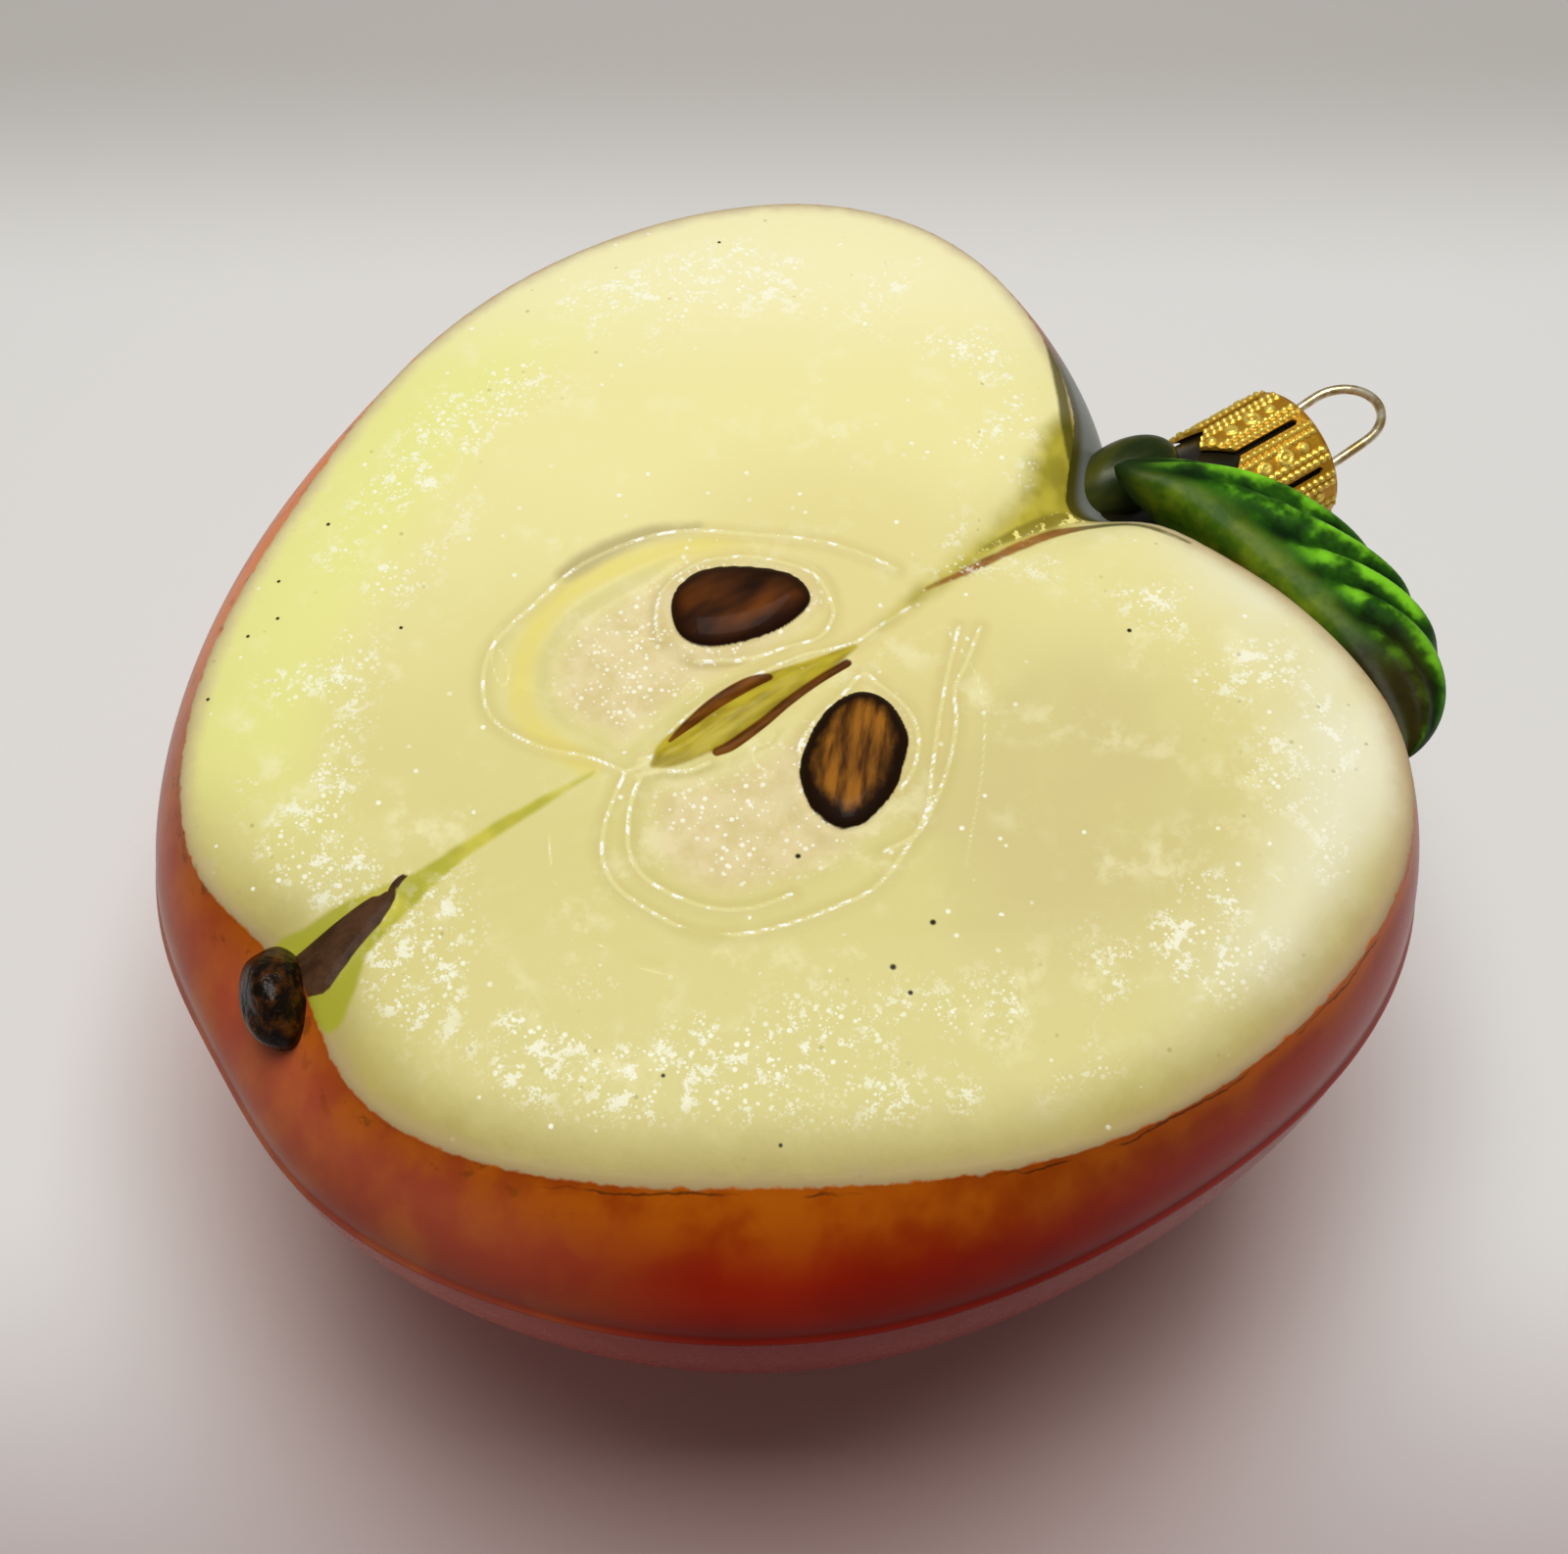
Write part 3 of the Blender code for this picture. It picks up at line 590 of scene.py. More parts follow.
def flesh_colour(p, edge):
    """(colour, bump height, matt paint) of the face inside the skin's edge."""
    cloud, fine = p.noise(13.0, 2.0), p.noise(2.2, 4.0, 0.65)
    right, away = p.toward(RIGHT), p.toward(AWAY)
    farther = p.step(p.add(away, p.all_of(cloud, 14.0)), -14.0, 26.0)
    colour = p.mix(farther, rgb(223, 213, 142), rgb(241, 233, 166))
    beige = p.all_of(p.spot(10.0, -19.0, 18.0), p.step(cloud, 0.25, 0.6))
    colour = p.mix(p.all_of(beige, 0.75), colour, rgb(213, 198, 137))
    colour = p.mix(p.all_of(p.spot(7.0, 3.0, 17.0), 0.5), colour, rgb(228, 211, 142))
    green = p.all_of(p.step(right, -6.0, -28.0), p.step(edge, -13.0, -6.0), p.step(edge, 0.0, -2.0))
    colour = p.mix(p.all_of(green, p.step(away, -22.0, -8.0), 0.75), colour, rgb(237, 237, 146))
    # a painted highlight: the far part of the face turns a paler cream
    colour = p.mix(p.all_of(p.step(away, 20.0, 34.0), 0.8), colour, rgb(249, 242, 194))
    # a whitish pearl inside the right rim: partly frosted paint, partly a painted highlight of the lamp
    pearl_and_highlight = p.all_of(p.step(right, 16.0, 31.0), p.step(edge, -13.0, -4.0), p.step(edge, 0.2, -1.5))
    colour = p.mix(p.all_of(pearl_and_highlight, p.step(cloud, 0.25, 0.6), 0.9), colour, rgb(242, 237, 206))
    mottle = p.all_of(p.step(fine, 0.46, 0.66), p.step(p.noise(6.0, 2.0, shift=4.0), 0.45, 0.7), 0.5)
    colour = p.mix(mottle, colour, rgb(248, 243, 196))
    # the near rim is darker olive, partly a thicker olive wash and partly painted shade where it turns away;
    # the far one stays clear
    near_rim_wash_and_shade = p.all_of(p.step(p.add(edge, p.all_of(fine, 2.0)), -5.0, 1.4), p.step(away, -10.0, -26.0))
    colour = p.mix(p.all_of(near_rim_wash_and_shade, 0.95), colour, rgb(172, 154, 80))
    side_rim = p.all_of(p.step(p.add(edge, p.all_of(fine, 1.2)), -2.2, 0.6), p.step(right, 14.0, 30.0))
    colour = p.mix(p.all_of(side_rim, 0.6), colour, rgb(184, 160, 118))
    border = p.step(p.add(edge, p.all_of(fine, 1.4)), -0.9, 0.8)
    colour = p.mix(p.all_of(border, 0.55), colour, rgb(184, 156, 130))
    colour, floor = core_colour(p, colour, fine)
    colour, painted = painted_parts(p, colour, fine)
    # white clumps of frost in a band inside the rim, and single grains all over; the clumps and the grains in
    # the band are also a painted highlight, the lamp's reflection broken up along the rim
    band = p.all_of(p.step(edge, -15.0, -10.0), p.step(edge, -2.8, -5.5))
    patch = p.step(p.noise(7.0, 2.0, shift=11.0), 0.43, 0.56)
    clump = p.all_of(p.step(p.noise(1.5, 5.0, 0.8, shift=3.0), 0.535, 0.585), patch, band)
    grain = p.most(p.flecks(0.55, 0.26), p.flecks(0.34, 0.26, 3.0))
    sparse = p.all_of(p.flecks(0.55, 0.022, 5.0), 0.9)
    sparkle = p.all_of(grain, p.most(p.all_of(patch, band), floor))
    frost_and_glints = p.most(p.all_of(clump, 0.72), p.all_of(sparkle, 0.85), sparse)
    frost_and_glints = p.all_of(frost_and_glints, p.without(painted), p.step(edge, -0.3, -1.0))
    colour = p.mix(frost_and_glints, colour, rgb(255, 254, 234))
    grey = p.all_of(p.flecks(0.5, 0.02, 8.0), p.step(edge, -18.0, -8.0), p.without(painted))
    colour = p.mix(p.all_of(grey, 0.45), colour, rgb(150, 140, 80))
    for x, y, size in SPECKS:
        colour = p.mix(p.spot(x, y, size), colour, rgb(44, 34, 16))
    ripple = p.noise(1.4, 2.0, 0.5, shift=2.0)
    height = p.add(p.all_of(frost_and_glints, 0.12), p.all_of(ripple, 0.45))
    return colour, height, painted


def core_colour(p, colour, fine):
    """(colour, chamber floors): yellow walls, sparkling floors and thin ridges with broken glints."""
    far_chamber, near_chamber, ridge = p.map("far_chamber"), p.map("near_chamber"), p.map("ridge")
    floor = p.most(p.step(far_chamber, -0.4, -2.8), p.step(near_chamber, -0.2, -3.0))
    floor_colour = p.mix(p.step(fine, 0.35, 0.65), rgb(219, 199, 146), rgb(234, 216, 172))
    colour = p.mix(p.all_of(floor, 0.75), colour, floor_colour)
    wall = p.all_of(p.step(p.map("wall"), 1.5, 0.1), p.add(0.3, fine), p.step(p.toward(RIGHT), -3.0, -12.0))
    colour = p.mix(p.all_of(wall, 0.65), colour, rgb(236, 218, 100))
    shade = p.step(p.add(p.map("shade"), p.all_of(fine, 0.5)), 0.75, -0.3)
    colour = p.mix(p.all_of(shade, 0.6), colour, rgb(160, 144, 106))
    # painted shade along the ridges
    ridge_shade = p.all_of(p.step(ridge, 1.2, 0.3), 0.25)
    colour = p.mix(ridge_shade, colour, rgb(198, 178, 106))
    lines = p.math("MINIMUM", ridge, p.add(p.map("hairline"), 0.06))
    colour = p.mix(p.all_of(p.step(lines, 0.24, 0.06), 0.35), colour, rgb(250, 244, 180))
    broken = p.step(p.noise(1.0, 3.0, 0.7, shift=6.0), 0.52, 0.56)
    glint = p.all_of(p.step(lines, 0.17, 0.08), broken)
    colour = p.mix(p.all_of(glint, 0.95), colour, rgb(255, 255, 244))
    clear = p.step(p.noise(4.5, 3.0, 0.6, shift=7.0), 0.36, 0.54)
    return colour, p.all_of(floor, clear)


def painted_parts(p, colour, fine):
    """(colour, where): the strokes and seeds that are painted on the flesh."""
    streak = p.noise(0.8, 2.0, 0.5, stretch=(4.0, 1.0, 1.0))
    spindle = p.step(p.map("spindle"), 0.2, -0.15)
    olive = p.mix(p.step(streak, 0.3, 0.7), rgb(154, 134, 20), rgb(192, 174, 40))
    colour = p.mix(p.all_of(spindle, 0.95), colour, olive)
    soft = p.noise(3.0, 2.0, 0.5, shift=8.0)
    fibre = p.step(p.add(p.map("fibre"), p.all_of(soft, 0.4)), 0.45, -0.05)
    fibre_colour = p.mix(p.step(soft, 0.35, 0.65), rgb(176, 172, 46), rgb(208, 198, 68))
    fibre_colour = p.mix(p.step(p.split("X"), CORE_X - 29.0, CORE_X - 35.0), fibre_colour, rgb(166, 166, 40))
    colour = p.mix(p.all_of(fibre, 0.9), colour, fibre_colour)
    wedge = p.step(p.add(p.map("wedge"), p.all_of(soft, 1.4)), 1.7, -0.6)
    wedge_colour = p.mix(p.step(soft, 0.35, 0.7), rgb(158, 146, 30), rgb(200, 186, 58))
    strip = p.step(p.map("strip"), 0.15, -0.2)
    wedge_colour = p.mix(p.all_of(strip, 0.8), wedge_colour, rgb(128, 112, 16))
    broken = p.step(p.noise(0.9, 3.0, shift=2.5), 0.52, 0.58)
    glint = p.all_of(p.step(p.map("strip"), 0.1, -0.2), broken)
    wedge_colour = p.mix(glint, wedge_colour, rgb(246, 234, 136))
    colour = p.mix(p.all_of(wedge, 0.95), colour, wedge_colour)
    brown = p.step(p.map("strokes"), 0.10, -0.06)
    colour = p.mix(brown, colour, p.mix(p.step(streak, 0.35, 0.7), rgb(86, 46, 4), rgb(122, 72, 14)))
    lobe = p.step(p.add(p.map("lobe_line"), p.all_of(fine, 0.3)), 0.35, 0.0)
    lobe_colour = p.mix(p.step(streak, 0.3, 0.7), rgb(120, 56, 6), rgb(158, 88, 14))
    by_stem = p.step(p.split("X"), CORE_X + 25.5, CORE_X + 28.0)
    deep = p.most(by_stem, p.step(p.split("Y"), 2.0, 4.0))
    colour = p.mix(p.all_of(lobe, 0.85), colour, p.mix(deep, lobe_colour, rgb(74, 68, 16)))
    tongue = p.step(p.map("tongue"), 0.06, -0.06)
    colour = p.mix(tongue, colour, p.mix(p.step(fine, 0.3, 0.7), rgb(46, 28, 14), rgb(84, 56, 36)))
    far, near = p.map("far_seed"), p.map("near_seed")
    grain = p.noise(2.4, 2.0, 0.5, stretch=(2.4, 1.0, 1.0), shift=1.0)
    # the far seed's lighter streaks are partly painted reflection: purple-brown on its far side, and
    # orange-brown on its near side, where the yellow face is reflected
    low = p.step(p.toward(AWAY), 4.5, 0.5)
    chestnut_and_reflection = p.mix(low, rgb(66, 40, 24), rgb(116, 60, 8))
    far_colour = p.mix(p.all_of(p.step(grain, 0.25, 0.80), p.step(far, 0.0, -1.3)), rgb(34, 14, 4), chestnut_and_reflection)
    roughened = p.all_of(p.add(fine, -0.5), 1.4)
    core = p.step(p.add(near, roughened), -0.6, -1.7)
    grain = p.noise(0.8, 3.0, 0.5, stretch=(5.0, 1.0, 1.0), shift=1.0, turn=NEAR_SEED_TURN)
    amber = p.mix(p.step(grain, 0.30, 0.68), rgb(64, 34, 6), rgb(158, 100, 28))
    near_colour = p.mix(core, rgb(30, 14, 4), amber)
    on_far = p.step(far, 0.05, -0.07)
    on_near = p.step(p.add(near, p.all_of(roughened, 0.3)), 0.07, -0.07)
    colour = p.mix(on_near, p.mix(on_far, colour, far_colour), near_colour)
    painted = p.most(on_far, on_near, tongue, brown)
    return colour, p.most(painted, p.all_of(fibre, 0.8))


def skin_colour(p, edge):
    """Orange-brown brushed out from the flesh into red, terracotta round the calyx, rosier below and towards
    the leaf, where the rose is painted reflection.
    """
    right = p.toward(RIGHT)
    streak = p.noise(4.5, 3.0, 0.5, stretch=(1, 1, 1.6))
    cloud = p.noise(9.0, 2.0, shift=5.0)
    by_calyx = p.step(right, -8.0, -30.0)
    by_leaf = p.step(right, 10.0, 30.0)
    wander = p.all_of(p.add(streak, -0.5), -3.0)
    reach = p.add(edge, wander, p.all_of(by_calyx, 2.2), p.all_of(by_leaf, 1.6))
    orange = p.mix(p.step(streak, 0.36, 0.62), rgb(164, 68, 4), rgb(190, 94, 8))
    red = p.mix(p.step(cloud, 0.35, 0.7), rgb(152, 28, 8), rgb(170, 38, 14))
    # towards the leaf the red turns rose: a painted reflection of the pale surroundings
    red = p.mix(by_leaf, red, rgb(190, 66, 56))
    terracotta = p.mix(p.step(streak, 0.35, 0.68), rgb(190, 84, 56), rgb(208, 108, 54))
    colour = p.mix(p.step(reach, 0.8, 7.2), orange, p.mix(by_calyx, red, terracotta))
    rim = p.all_of(by_leaf, p.step(p.add(edge, p.all_of(wander, 0.4)), 2.4, 0.6), 0.85)
    colour = p.mix(rim, colour, rgb(216, 104, 20))
    far_side = p.all_of(p.step(p.toward(AWAY), -12.0, 4.0), p.step(right, 8.0, -4.0), p.step(edge, 6.0, 2.0))
    colour = p.mix(far_side, colour, rgb(240, 124, 8))
    seam = FACE_HEIGHT - FACE_ABOVE_AXIS
    height = p.split("Z")
    # below the seam: deep red, turning rose at the calyx and leaf sides, where the rose is a painted
    # reflection of the pale floor
    red_and_sheen_below = p.mix(by_calyx, rgb(152, 20, 16), rgb(190, 66, 44))
    red_and_sheen_below = p.mix(p.all_of(by_leaf, 0.8), red_and_sheen_below, rgb(176, 66, 58))
    colour = p.mix(p.all_of(p.step(height, seam + 0.1, seam - 1.5), 0.85), colour, red_and_sheen_below)
    above = p.all_of(p.step(height, seam + 2.4, seam + 0.7), p.step(height, seam + 0.15, seam + 0.6))
    faded = p.math("SUBTRACT", 0.45, p.all_of(by_calyx, 0.3))
    colour = p.mix(p.all_of(above, faded), colour, rgb(104, 14, 5))
    # the hollow round the stem is olive, with a painted blue-grey reflection on its far side
    x, y = p.add(p.split("X"), -CORE_X), p.split("Y")
    stem_side = p.all_of(p.step(x, 24.0, 28.0), p.step(y, 17.0, 11.0), p.step(y, -12.0, -6.0))
    cavity = p.mix(p.step(edge, 0.8, 2.4), rgb(84, 78, 22), rgb(124, 128, 122))
    colour = p.mix(stem_side, colour, cavity)
    wave = p.all_of(p.add(p.noise(2.5, 3.0), -0.5), 1.6)
    crack = p.step(p.math("ABSOLUTE", p.add(edge, wave, -0.5)), 0.14, 0.05)
    crack = p.all_of(crack, p.step(p.noise(6.0, 2.0, shift=9.0), 0.45, 0.55), p.step(by_calyx, 0.7, 0.3))
    colour = p.mix(p.all_of(crack, 0.75), colour, rgb(84, 44, 12))
    patchy = p.step(p.noise(1.6, 4.0, 0.6, shift=1.0), 0.56, 0.66)
    dark_brush = p.all_of(by_calyx, p.step(edge, 4.0, 1.0), patchy)
    return p.mix(p.all_of(dark_brush, 0.6), colour, rgb(120, 62, 16))


def make_glass():
    points, maps = glass_points()
    rings = len(points)
    centre = points[0].mean(axis=0)
    pole = np.array((0.0, 0.0, -body_radius(np.array(math.pi / 2))))
    solid = np.concatenate([points.reshape(-1, 3), [centre, pole]]) + AXIS_CENTRE
    solid[:, 2] = np.maximum(solid[:, 2], 0.0)
    faces = ring_faces(rings, AROUND)
    piece = new_piece("apple_glass", solid, faces, glass_paint(), "painted_glass", "glass_body")
    ends = {name: (values[0].mean(), values[-1].mean()) for name, values in maps.items()}
    write_maps(piece, {name: np.concatenate([values.ravel(), ends[name]]) for name, values in maps.items()})


def leaf_outline(t):
    """Share of the leaf's full half width: broad in the first half, drawn out to the tip."""
    return np.sin(np.pi * np.clip(t, 0, 1) ** 0.85) ** 0.75


def make_leaf():
    """The green leaf on the stem-side shoulder: a thick pointed pad with slanting veins."""
    rings, around = 150, 96
    turn = np.linspace(0, 2 * np.pi, around, endpoint=False)
    across, lift = np.cos(turn), np.sin(turn)
    points, vein_map, across_map, along_map = [], [], [], []
    for ring in range(1, rings + 1):
        t = 0.5 - 0.5 * math.cos(math.pi * ring / (rings + 1))
        place = LEAF_START + t * (LEAF_TIP - LEAF_START)
        away = np.array((math.cos(place), math.sin(place), 0.0))
        up = np.array((0.0, 0.0, 1.0))
        shape = float(leaf_outline(t))
        by_stalk = (1 - t) ** 2
        reach = face_radius(place) + LEAF_OUTSET * by_stalk - LEAF_OVERLAP
        reach += LEAF_HALF_WIDTH * LEAF_OVERHANG * shape
        drop = LEAF_DROP + LEAF_SAG * math.sin(math.pi * t) - LEAF_LIFT * by_stalk
        centre = FACE_CENTRE + away * reach - up * drop
        out = away * math.cos(LEAF_TILT) - up * math.sin(LEAF_TILT)
        rise = away * math.sin(LEAF_TILT) + up * math.cos(LEAF_TILT)
        backing = LEAF_BACKING * shape * min(1.0, 0.65 + 1.5 * t)
        phase = LEAF_VEINS * t + 0.25 * math.sin(11 * t) - 0.9 * across - 0.3 * across**2
        vein = np.cos(2 * np.pi * phase)
        thickness = np.where(lift > 0, LEAF_CROWN * shape**0.7, backing)
        veined = vein * np.maximum(lift, 0) * step(across, -0.9, 0.1)
        height = lift * thickness + LEAF_VEIN_DEPTH * shape * veined
        wavy = 1 - 0.04 * (1 - vein) * np.maximum(across, 0)
        width = across * wavy * LEAF_HALF_WIDTH * shape
        points.append(centre + np.outer(width, out) + np.outer(height, rise))
        vein_map.append(vein)
        across_map.append(across * np.where(lift > 0, 1.0, 2.0))
        along_map.append(np.full(around, t))
    points = np.array(points)
    solid = np.concatenate([points.reshape(-1, 3), [points[0].mean(axis=0), points[-1].mean(axis=0)]])
    piece = new_piece("leaf", solid, ring_faces(rings, around), leaf_paint(), "painted_glass", "glass_body")
    maps = {"vein": vein_map, "across": across_map, "along": along_map}
    write_maps(piece, {name: np.concatenate([np.ravel(m), [m[0].mean(), m[-1].mean()]]) for name, m in
                       ((name, np.array(m)) for name, m in maps.items())})


def leaf_paint():
    """Green lacquer over silver: blotches of dark and mid green, darker as painted shade in the veins, with
    painted highlights on the swellings between them, olive along the face.
    """
    p = Paint("leaf_lacquer")
    vein, across, along = p.map("vein"), p.map("across"), p.map("along")
    cloud = p.noise(3.0, 3.0, 0.55)
    # dark green in the veins is painted shade; the rest of the dark and mid green is blotchy tone
    value = p.add(p.all_of(vein, 0.35), p.all_of(p.add(cloud, -0.5), 2.6))
    colour = p.mix(p.step(value, -0.6, 0.4), rgb(10, 34, 6), rgb(44, 96, 10))
    # a painted highlight on the swellings along the leaf's middle
    middle = p.all_of(p.step(across, -0.65, -0.25), p.step(across, 0.95, 0.55))
    colour = p.mix(p.all_of(p.step(value, 0.0, 0.65), middle), colour, rgb(130, 210, 38))
    inner = p.all_of(p.step(p.add(across, p.all_of(cloud, 0.5)), -0.25, -0.6), p.step(along, 0.84, 0.6))
    olive = p.mix(p.step(cloud, 0.35, 0.7), rgb(58, 92, 8), rgb(116, 134, 22))
    colour = p.mix(p.all_of(inner, 0.9), colour, olive)
    tip = p.all_of(p.step(along, 0.62, 0.82), p.step(across, 0.85, 0.1))
    colour = p.mix(p.all_of(tip, 0.92), colour, p.mix(cloud, rgb(26, 20, 2), rgb(58, 48, 10)))
    colour = p.mix(p.step(along, 0.20, 0.03), colour, rgb(32, 50, 14))
    normal = p.bump(p.add(p.all_of(vein, 0.3), cloud), 0.18)
    return p.finish(colour, 0.42, normal, Specular_IOR_Level=0.08, Coat_Weight=0.03, Coat_Roughness=0.15)


def lump_points(centre, half_sizes, spin, rings, around, shape=None):
    """A ball drawn out to half sizes and spun, over the face, with an optional change of shape."""
    points = []
    turned = np.array(Matrix.Rotation(spin, 3, "Z"))
    for ring in range(1, rings + 1):
        down = math.pi * ring / (rings + 1)
        turn = np.linspace(0, 2 * np.pi, around, endpoint=False)
        way = np.stack([math.sin(down) * np.cos(turn), math.sin(down) * np.sin(turn),
                        np.full(around, math.cos(down))], axis=-1)
        scale = shape(way) if shape is not None else 1.0
        points.append((way * scale * np.array(half_sizes)) @ turned.T)
    points = np.array(points)
    ends = [points[0].mean(axis=0), points[-1].mean(axis=0)]
    return np.concatenate([points.reshape(-1, 3), ends]) + FACE_CENTRE + np.array(centre)


def make_calyx_stub():
    def lumpy(way):
        across, up = np.sin(5 * way[:, 0] + 3 * way[:, 1]), np.cos(7 * way[:, 2] + 2)
        return (0.98 - 0.03 * (across + up))[:, None]

    p = Paint("calyx_brown")
    cloud = p.noise(1.2, 3.0, 0.6)
    colour = p.mix(p.step(cloud, 0.44, 0.74), rgb(18, 8, 2), rgb(84, 46, 6))
    normal = p.bump(cloud, 0.35)
    finish = p.finish(colour, 0.34, normal, Coat_Weight=0.06, Coat_Roughness=0.15, Specular_IOR_Level=0.16)
    points = lump_points(*CALYX_STUB, 60, 80, lumpy)
    new_piece("calyx_stub", points, ring_faces(60, 80), finish, "painted_glass", "glass_body")


def make_stalk():
    p = Paint("stalk_olive")
    cloud = p.noise(2.6, 2.0, 0.5, stretch=(2.0, 1, 1))
    colour = p.mix(p.step(cloud, 0.35, 0.75), rgb(32, 44, 12), rgb(74, 76, 20))
    finish = p.finish(colour, 0.35, p.bump(cloud, 0.3), Coat_Weight=0.06, Coat_Roughness=0.15,
                      Specular_IOR_Level=0.2)
    points = lump_points(*STALK, 50, 72)
    new_piece("stalk", points, ring_faces(50, 72), finish, "painted_glass", "glass_body")


def turned_points(profile, around):
    """Rings about the core's axis from (distance along it, radius) pairs."""
    turn = np.linspace(0, 2 * np.pi, around, endpoint=False)
    y, z = np.cos(turn), np.sin(turn)
    points = np.array([np.stack([np.full(around, along), radius * y + NECK_SIDE, radius * z], axis=-1)
                       for along, radius in profile])
    ends = [points[0].mean(axis=0), points[-1].mean(axis=0)]
    return np.concatenate([points.reshape(-1, 3), ends]) + AXIS_CENTRE


def make_neck():
    """The neck that the cap sits on, with its collar spreading into the shoulder."""
    around = 96
    radius = NECK_RADIUS - 0.1
    profile = [(NECK_START, COLLAR_RADIUS - 0.2)]
    for share in np.linspace(0.05, 1, 12):
        flare = 1.9 * (1 - share) ** 1.6
        profile.append((NECK_START + share * (COLLAR_END - NECK_START), radius + flare))
    profile += [(NECK_END - 0.4, radius), (NECK_END - 0.1, radius - 0.3)]
    # painted shade: the neck is near-black for the dark gap under the cap's skirt
    p = Paint("neck_painted_shade")
    colour = p.mix(p.noise(2.0, 2.0), rgb(14, 14, 6), rgb(40, 34, 16))
    finish = p.finish(colour, 0.3, Coat_Weight=0.1)
    faces = ring_faces(len(profile), around)
    new_piece("neck", turned_points(profile, around), faces, finish, "painted_glass", "glass_body")


def cap_relief(arc, along):
    """Height of the pressed pattern, at a distance round from a tab's middle and a height up the skirt."""
    half = math.pi * CAP_RADIUS / CAP_TABS
    height = 0.0
    for side in (-1, 1):
        for inset, shift in BEAD_ROWS:
            phase = (along / BEAD_STEP + shift) % 1.0 - 0.5
            spot = math.hypot(arc - side * (half - inset), phase * BEAD_STEP)
            height += 0.26 * math.exp(-((spot / 0.24) ** 4))
    for level, size in BOSSES:
        spot = math.hypot(arc, along - level)
        height += 0.22 * math.exp(-(((spot - size) / 0.16) ** 2)) + 0.2 * math.exp(-((spot / 0.2) ** 2))
    if abs(arc) < half - 1.9:
        across = (arc / BEAD_STEP) % 1.0 - 0.5
        spot = math.hypot(across * BEAD_STEP, along - 0.5)
        height += 0.22 * math.exp(-((spot / 0.24) ** 4))
    return height


def join_lines(bm, lines):
    """Quads between neighbouring lines of vertices."""
    for low, high in zip(lines, lines[1:]):
        for quad in zip(low, low[1:], high[1:], high):
            bm.faces.new(quad)


def add_cap_tab(bm, layer, middle):
    """One tab of the skirt: embossed outside, plain inside, and closed along its four edges."""
    half = math.pi / CAP_TABS
    slit = SLIT_WIDTH / 2 / CAP_RADIUS
    skirt = CAP_DEPTH - 0.35

    def corner(radius, turn, along, raised):
        angle = middle + turn
        vert = bm.verts.new((radius * math.cos(angle), radius * math.sin(angle), along))
        vert[layer] = raised
        return vert

    shown, hidden = [], []
    for row in range(TAB_ROWS + 1):
        shown.append([])
        hidden.append([])
        for column in range(TAB_COLUMNS + 1):
            side = 2 * column / TAB_COLUMNS - 1
            low = max(0.0, TAB_CHAMFER - (half - slit) * (1 - abs(side)) * CAP_RADIUS)
            along = low + row / TAB_ROWS * (skirt - low)
            closing = min(1.0, max(0.0, (along - CAP_DEPTH + SLIT_LEFT_AT_TOP) / 0.25))
            turn = side * (half - slit + slit * closing)
            height = cap_relief(turn * CAP_RADIUS, along) * min(1.0, (skirt - along) / 0.5)
            round_off = 0.35 * max(0.0, (along - CAP_DEPTH + 0.9) / 0.55) ** 2
            shown[-1].append(corner(CAP_OUTER + height - round_off, turn, along, height))
            inner = CAP_OUTER - CAP_FOIL - min(round_off, 0.2)
            hidden[-1].append(corner(inner, turn, min(along, CAP_DEPTH - 0.6), 0.0))
    join_lines(bm, shown)
    join_lines(bm, hidden[::-1])
    join_lines(bm, [hidden[0], shown[0]])
    join_lines(bm, [shown[-1], hidden[-1]])
    join_lines(bm, [[line[0] for line in rows] for rows in (shown, hidden)])
    join_lines(bm, [[line[-1] for line in rows] for rows in (hidden, shown)])


def add_cap_top(bm, layer):
    """A pressed disc with a rolled rim and a ring of beads, a closed plate in itself."""
    around, rings = 192, 30
    shown, hidden = [], []
    for lines, base in ((shown, 0.18), (hidden, 0.55)):
        for ring in range(1, rings + 1):
            radius = (CAP_OUTER - 0.1) * ring / rings
            lines.append([])
            for column in range(around):
                turn = 2 * math.pi * column / around
                raised = 0.16 * math.exp(-((radius - 4.4) / 0.3) ** 4) * (0.5 + 0.5 * math.cos(28 * turn))
                raised += 0.12 * math.exp(-(((radius - 2.0) / 0.25) ** 2))
                dip = 0.33 * max(0.0, (radius - CAP_OUTER + 0.7) / 0.6) ** 2
                if lines is hidden:
                    raised = dip = 0.0
                along = CAP_DEPTH - base + raised - dip
                vert = bm.verts.new((radius * math.cos(turn), radius * math.sin(turn), along))
                vert[layer] = raised
                lines[-1].append(vert)
            lines[-1].append(lines[-1][0])
        middle = bm.verts.new((0, 0, CAP_DEPTH - base))
        for pair in zip(lines[0], lines[0][1:]):
            bm.faces.new((middle, *(pair if lines is shown else pair[::-1])))
    join_lines(bm, list(zip(*shown)))
    join_lines(bm, list(zip(*hidden))[::-1])
    join_lines(bm, list(zip(shown[-1], hidden[-1])))


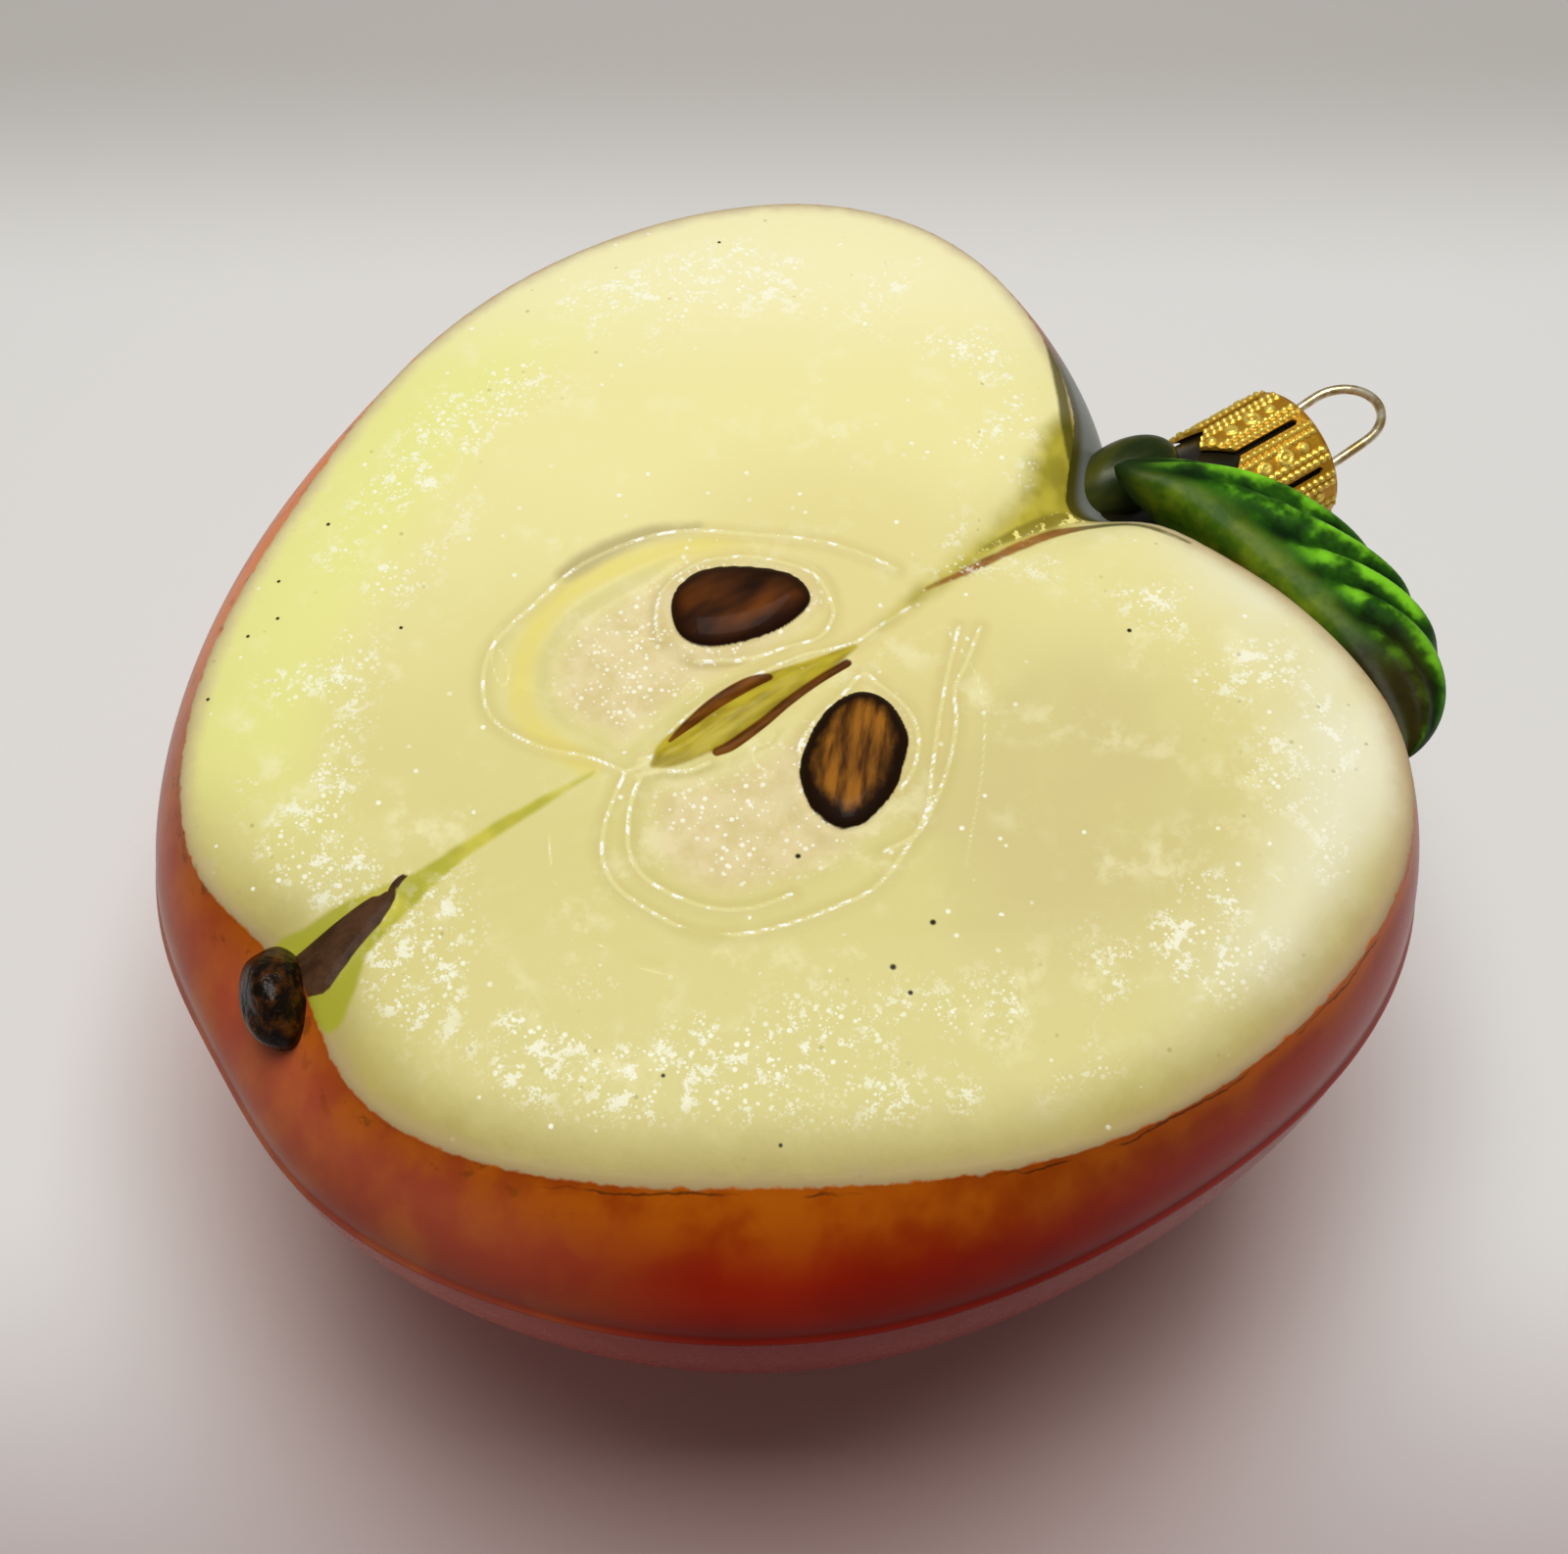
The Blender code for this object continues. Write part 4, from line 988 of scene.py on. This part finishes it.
def make_cap():
    """The gold cap: eight embossed tabs with slits between, joined by a flat pressed top."""
    bm = bmesh.new()
    layer = bm.verts.layers.float.new("relief")
    for tab in range(CAP_TABS):
        add_cap_tab(bm, layer, SLIT_TURN + (tab + 0.5) * 2 * math.pi / CAP_TABS)
    add_cap_top(bm, layer)
    # made standing along +Z, and turned to run along the core
    place = Matrix.Translation(Vector(AXIS_CENTRE) + Vector((CAP_START, NECK_SIDE, 0)))
    bmesh.ops.transform(bm, matrix=place @ Matrix.Rotation(math.radians(90), 4, "Y"), verts=bm.verts)
    bmesh.ops.scale(bm, vec=(MM, MM, MM), verts=bm.verts)
    mesh = bpy.data.meshes.new("gold_cap")
    bm.to_mesh(mesh)
    bm.free()
    mesh.shade_smooth()
    mesh.set_sharp_from_angle(angle=math.radians(50))
    mesh.materials.append(gold_paint())
    piece = add_object("gold_cap", mesh)
    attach(piece, "root")
    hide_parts("cap")


def gold_paint():
    """Thin pressed gold foil: painted shade in the hollows of the pattern and painted highlights on its
    raised parts, with tiny scratches.
    """
    p = Paint("gold_cap")
    cloud = p.noise(1.5, 3.0, 0.6)
    # the pattern's hollows get painted shade and its raised parts a painted highlight
    raised = p.add(p.map("relief"), p.all_of(cloud, 0.05))
    colour = p.mix(p.step(raised, 0.0, 0.2), rgb(206, 146, 24), rgb(255, 224, 100))
    rough = p.add(0.30, p.all_of(cloud, 0.16))
    return p.finish(colour, rough, p.bump(p.add(p.noise(0.5, 2.0), cloud), 0.05), Metallic=0.6)


def make_wire():
    """The spring wire: two legs in the cap and a round loop beyond it."""
    place = Matrix.Translation(Vector(AXIS_CENTRE) + Vector((CAP_END, NECK_SIDE, LOOP_LIFT)))
    tilt = place @ Matrix.Rotation(-LOOP_PITCH, 4, "Y") @ Matrix.Rotation(LOOP_ROLL, 4, "X")
    foot = -CAP_WALL - WIRE_FOOT
    bend = LOOP_REACH - LOOP_HALF_WIDTH - WIRE_RADIUS - 0.05
    line = [(along, LOOP_HALF_WIDTH) for along in np.linspace(foot, bend, 10, endpoint=False)]
    for turn in np.linspace(0, np.pi, 41):
        line.append((bend + LOOP_HALF_WIDTH * math.sin(turn), LOOP_HALF_WIDTH * math.cos(turn)))
    line += [(along, -LOOP_HALF_WIDTH) for along in np.linspace(bend, foot, 11)[1:]]
    curve = bpy.data.curves.new("wire_loop", "CURVE")
    curve.dimensions = "3D"
    curve.bevel_depth = (WIRE_RADIUS - 0.01) * MM
    curve.bevel_resolution = 6
    curve.use_fill_caps = True
    spline = curve.splines.new("POLY")
    spline.points.add(len(line) - 1)
    for point, (along, side) in zip(spline.points, line):
        point.co = (*(tilt @ Vector((along, side, 0)) * MM), 1.0)
    p = Paint("wire")
    cloud = p.noise(1.2, 3.0, 0.6)
    colour = p.mix(p.step(cloud, 0.35, 0.65), rgb(188, 160, 104), rgb(240, 228, 196))
    curve.materials.append(p.finish(colour, 0.3, p.bump(cloud, 0.03), Metallic=0.75))
    piece = add_object("wire_loop", curve)
    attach(piece, "root")
    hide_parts("hanger_wire")


def make_stage():
    """A pale floor with painted shade far behind the object and towards the near corners, and a painted
    red-tinted shadow round its middle, under soft studio light.
    """
    mesh = bpy.data.meshes.new("floor")
    bm = bmesh.new()
    bmesh.ops.create_grid(bm, x_segments=2, y_segments=2, size=3.0)
    bm.to_mesh(mesh)
    bm.free()
    floor = add_object("floor", mesh)
    p = Paint("floor_paper")
    away = p.toward(AWAY)
    # painted shade far behind, where the floor falls out of the lamp's light
    colour = p.mix(p.step(away, 78.0, 118.0), rgb(238, 237, 235), rgb(198, 194, 189))
    # painted shade towards the near corners
    colour = p.mix(p.step(away, -20.0, -62.0), colour, rgb(192, 178, 177))
    # a painted shadow tinted with red light bounced from the glass, round the object's middle
    centre = p.spot(0.0, 0.0, 66.0)
    colour = p.mix(p.all_of(centre, 0.85), colour, rgb(228, 164, 146))
    mesh.materials.append(p.finish(colour, 0.6, p.bump(p.noise(2.0, 4.0), 0.03), Specular_IOR_Level=0.2))


def make_light():
    """A large soft lamp overhead and a faint pale room."""
    world = bpy.data.worlds.new("studio")
    bpy.context.scene.world = world
    world.use_nodes = True
    background = world.node_tree.nodes["Background"].inputs
    background["Color"].default_value = (0.95, 0.97, 1.0, 1.0)
    background["Strength"].default_value = 0.13
    data = bpy.data.lights.new("key", "AREA")
    data.shape = "RECTANGLE"
    data.size, data.size_y = KEY_SIZE, KEY_SIZE
    data.energy = KEY_POWER
    data.color = (1.0, 0.99, 0.96)
    light = add_object("key", data)
    light.location = KEY_PLACE
    light.rotation_mode = "QUATERNION"
    light.rotation_quaternion = (KEY_AIM - KEY_PLACE).to_track_quat("-Z", "Y")


def make_camera():
    aim = Vector(FACE_CENTRE) + Vector(VIEW_AIM)
    back = Vector((math.sin(VIEW_AZIMUTH) * math.cos(VIEW_ELEVATION),
                   -math.cos(VIEW_AZIMUTH) * math.cos(VIEW_ELEVATION), math.sin(VIEW_ELEVATION)))
    data = bpy.data.cameras.new("camera")
    data.lens, data.sensor_width = LENS, SENSOR
    data.clip_start = 0.01
    camera = add_object("camera", data)
    camera.location = (aim + back * VIEW_DISTANCE) * MM
    camera.rotation_mode = "QUATERNION"
    camera.rotation_quaternion = back.to_track_quat("Z", "Y")
    bpy.context.scene.camera = camera


make_camera()
make_glass()
make_leaf()
make_calyx_stub()
make_stalk()
make_neck()
make_cap()
make_wire()
make_stage()
make_light()
bpy.context.scene.view_settings.view_transform = "Standard"
bpy.context.view_layer.update()
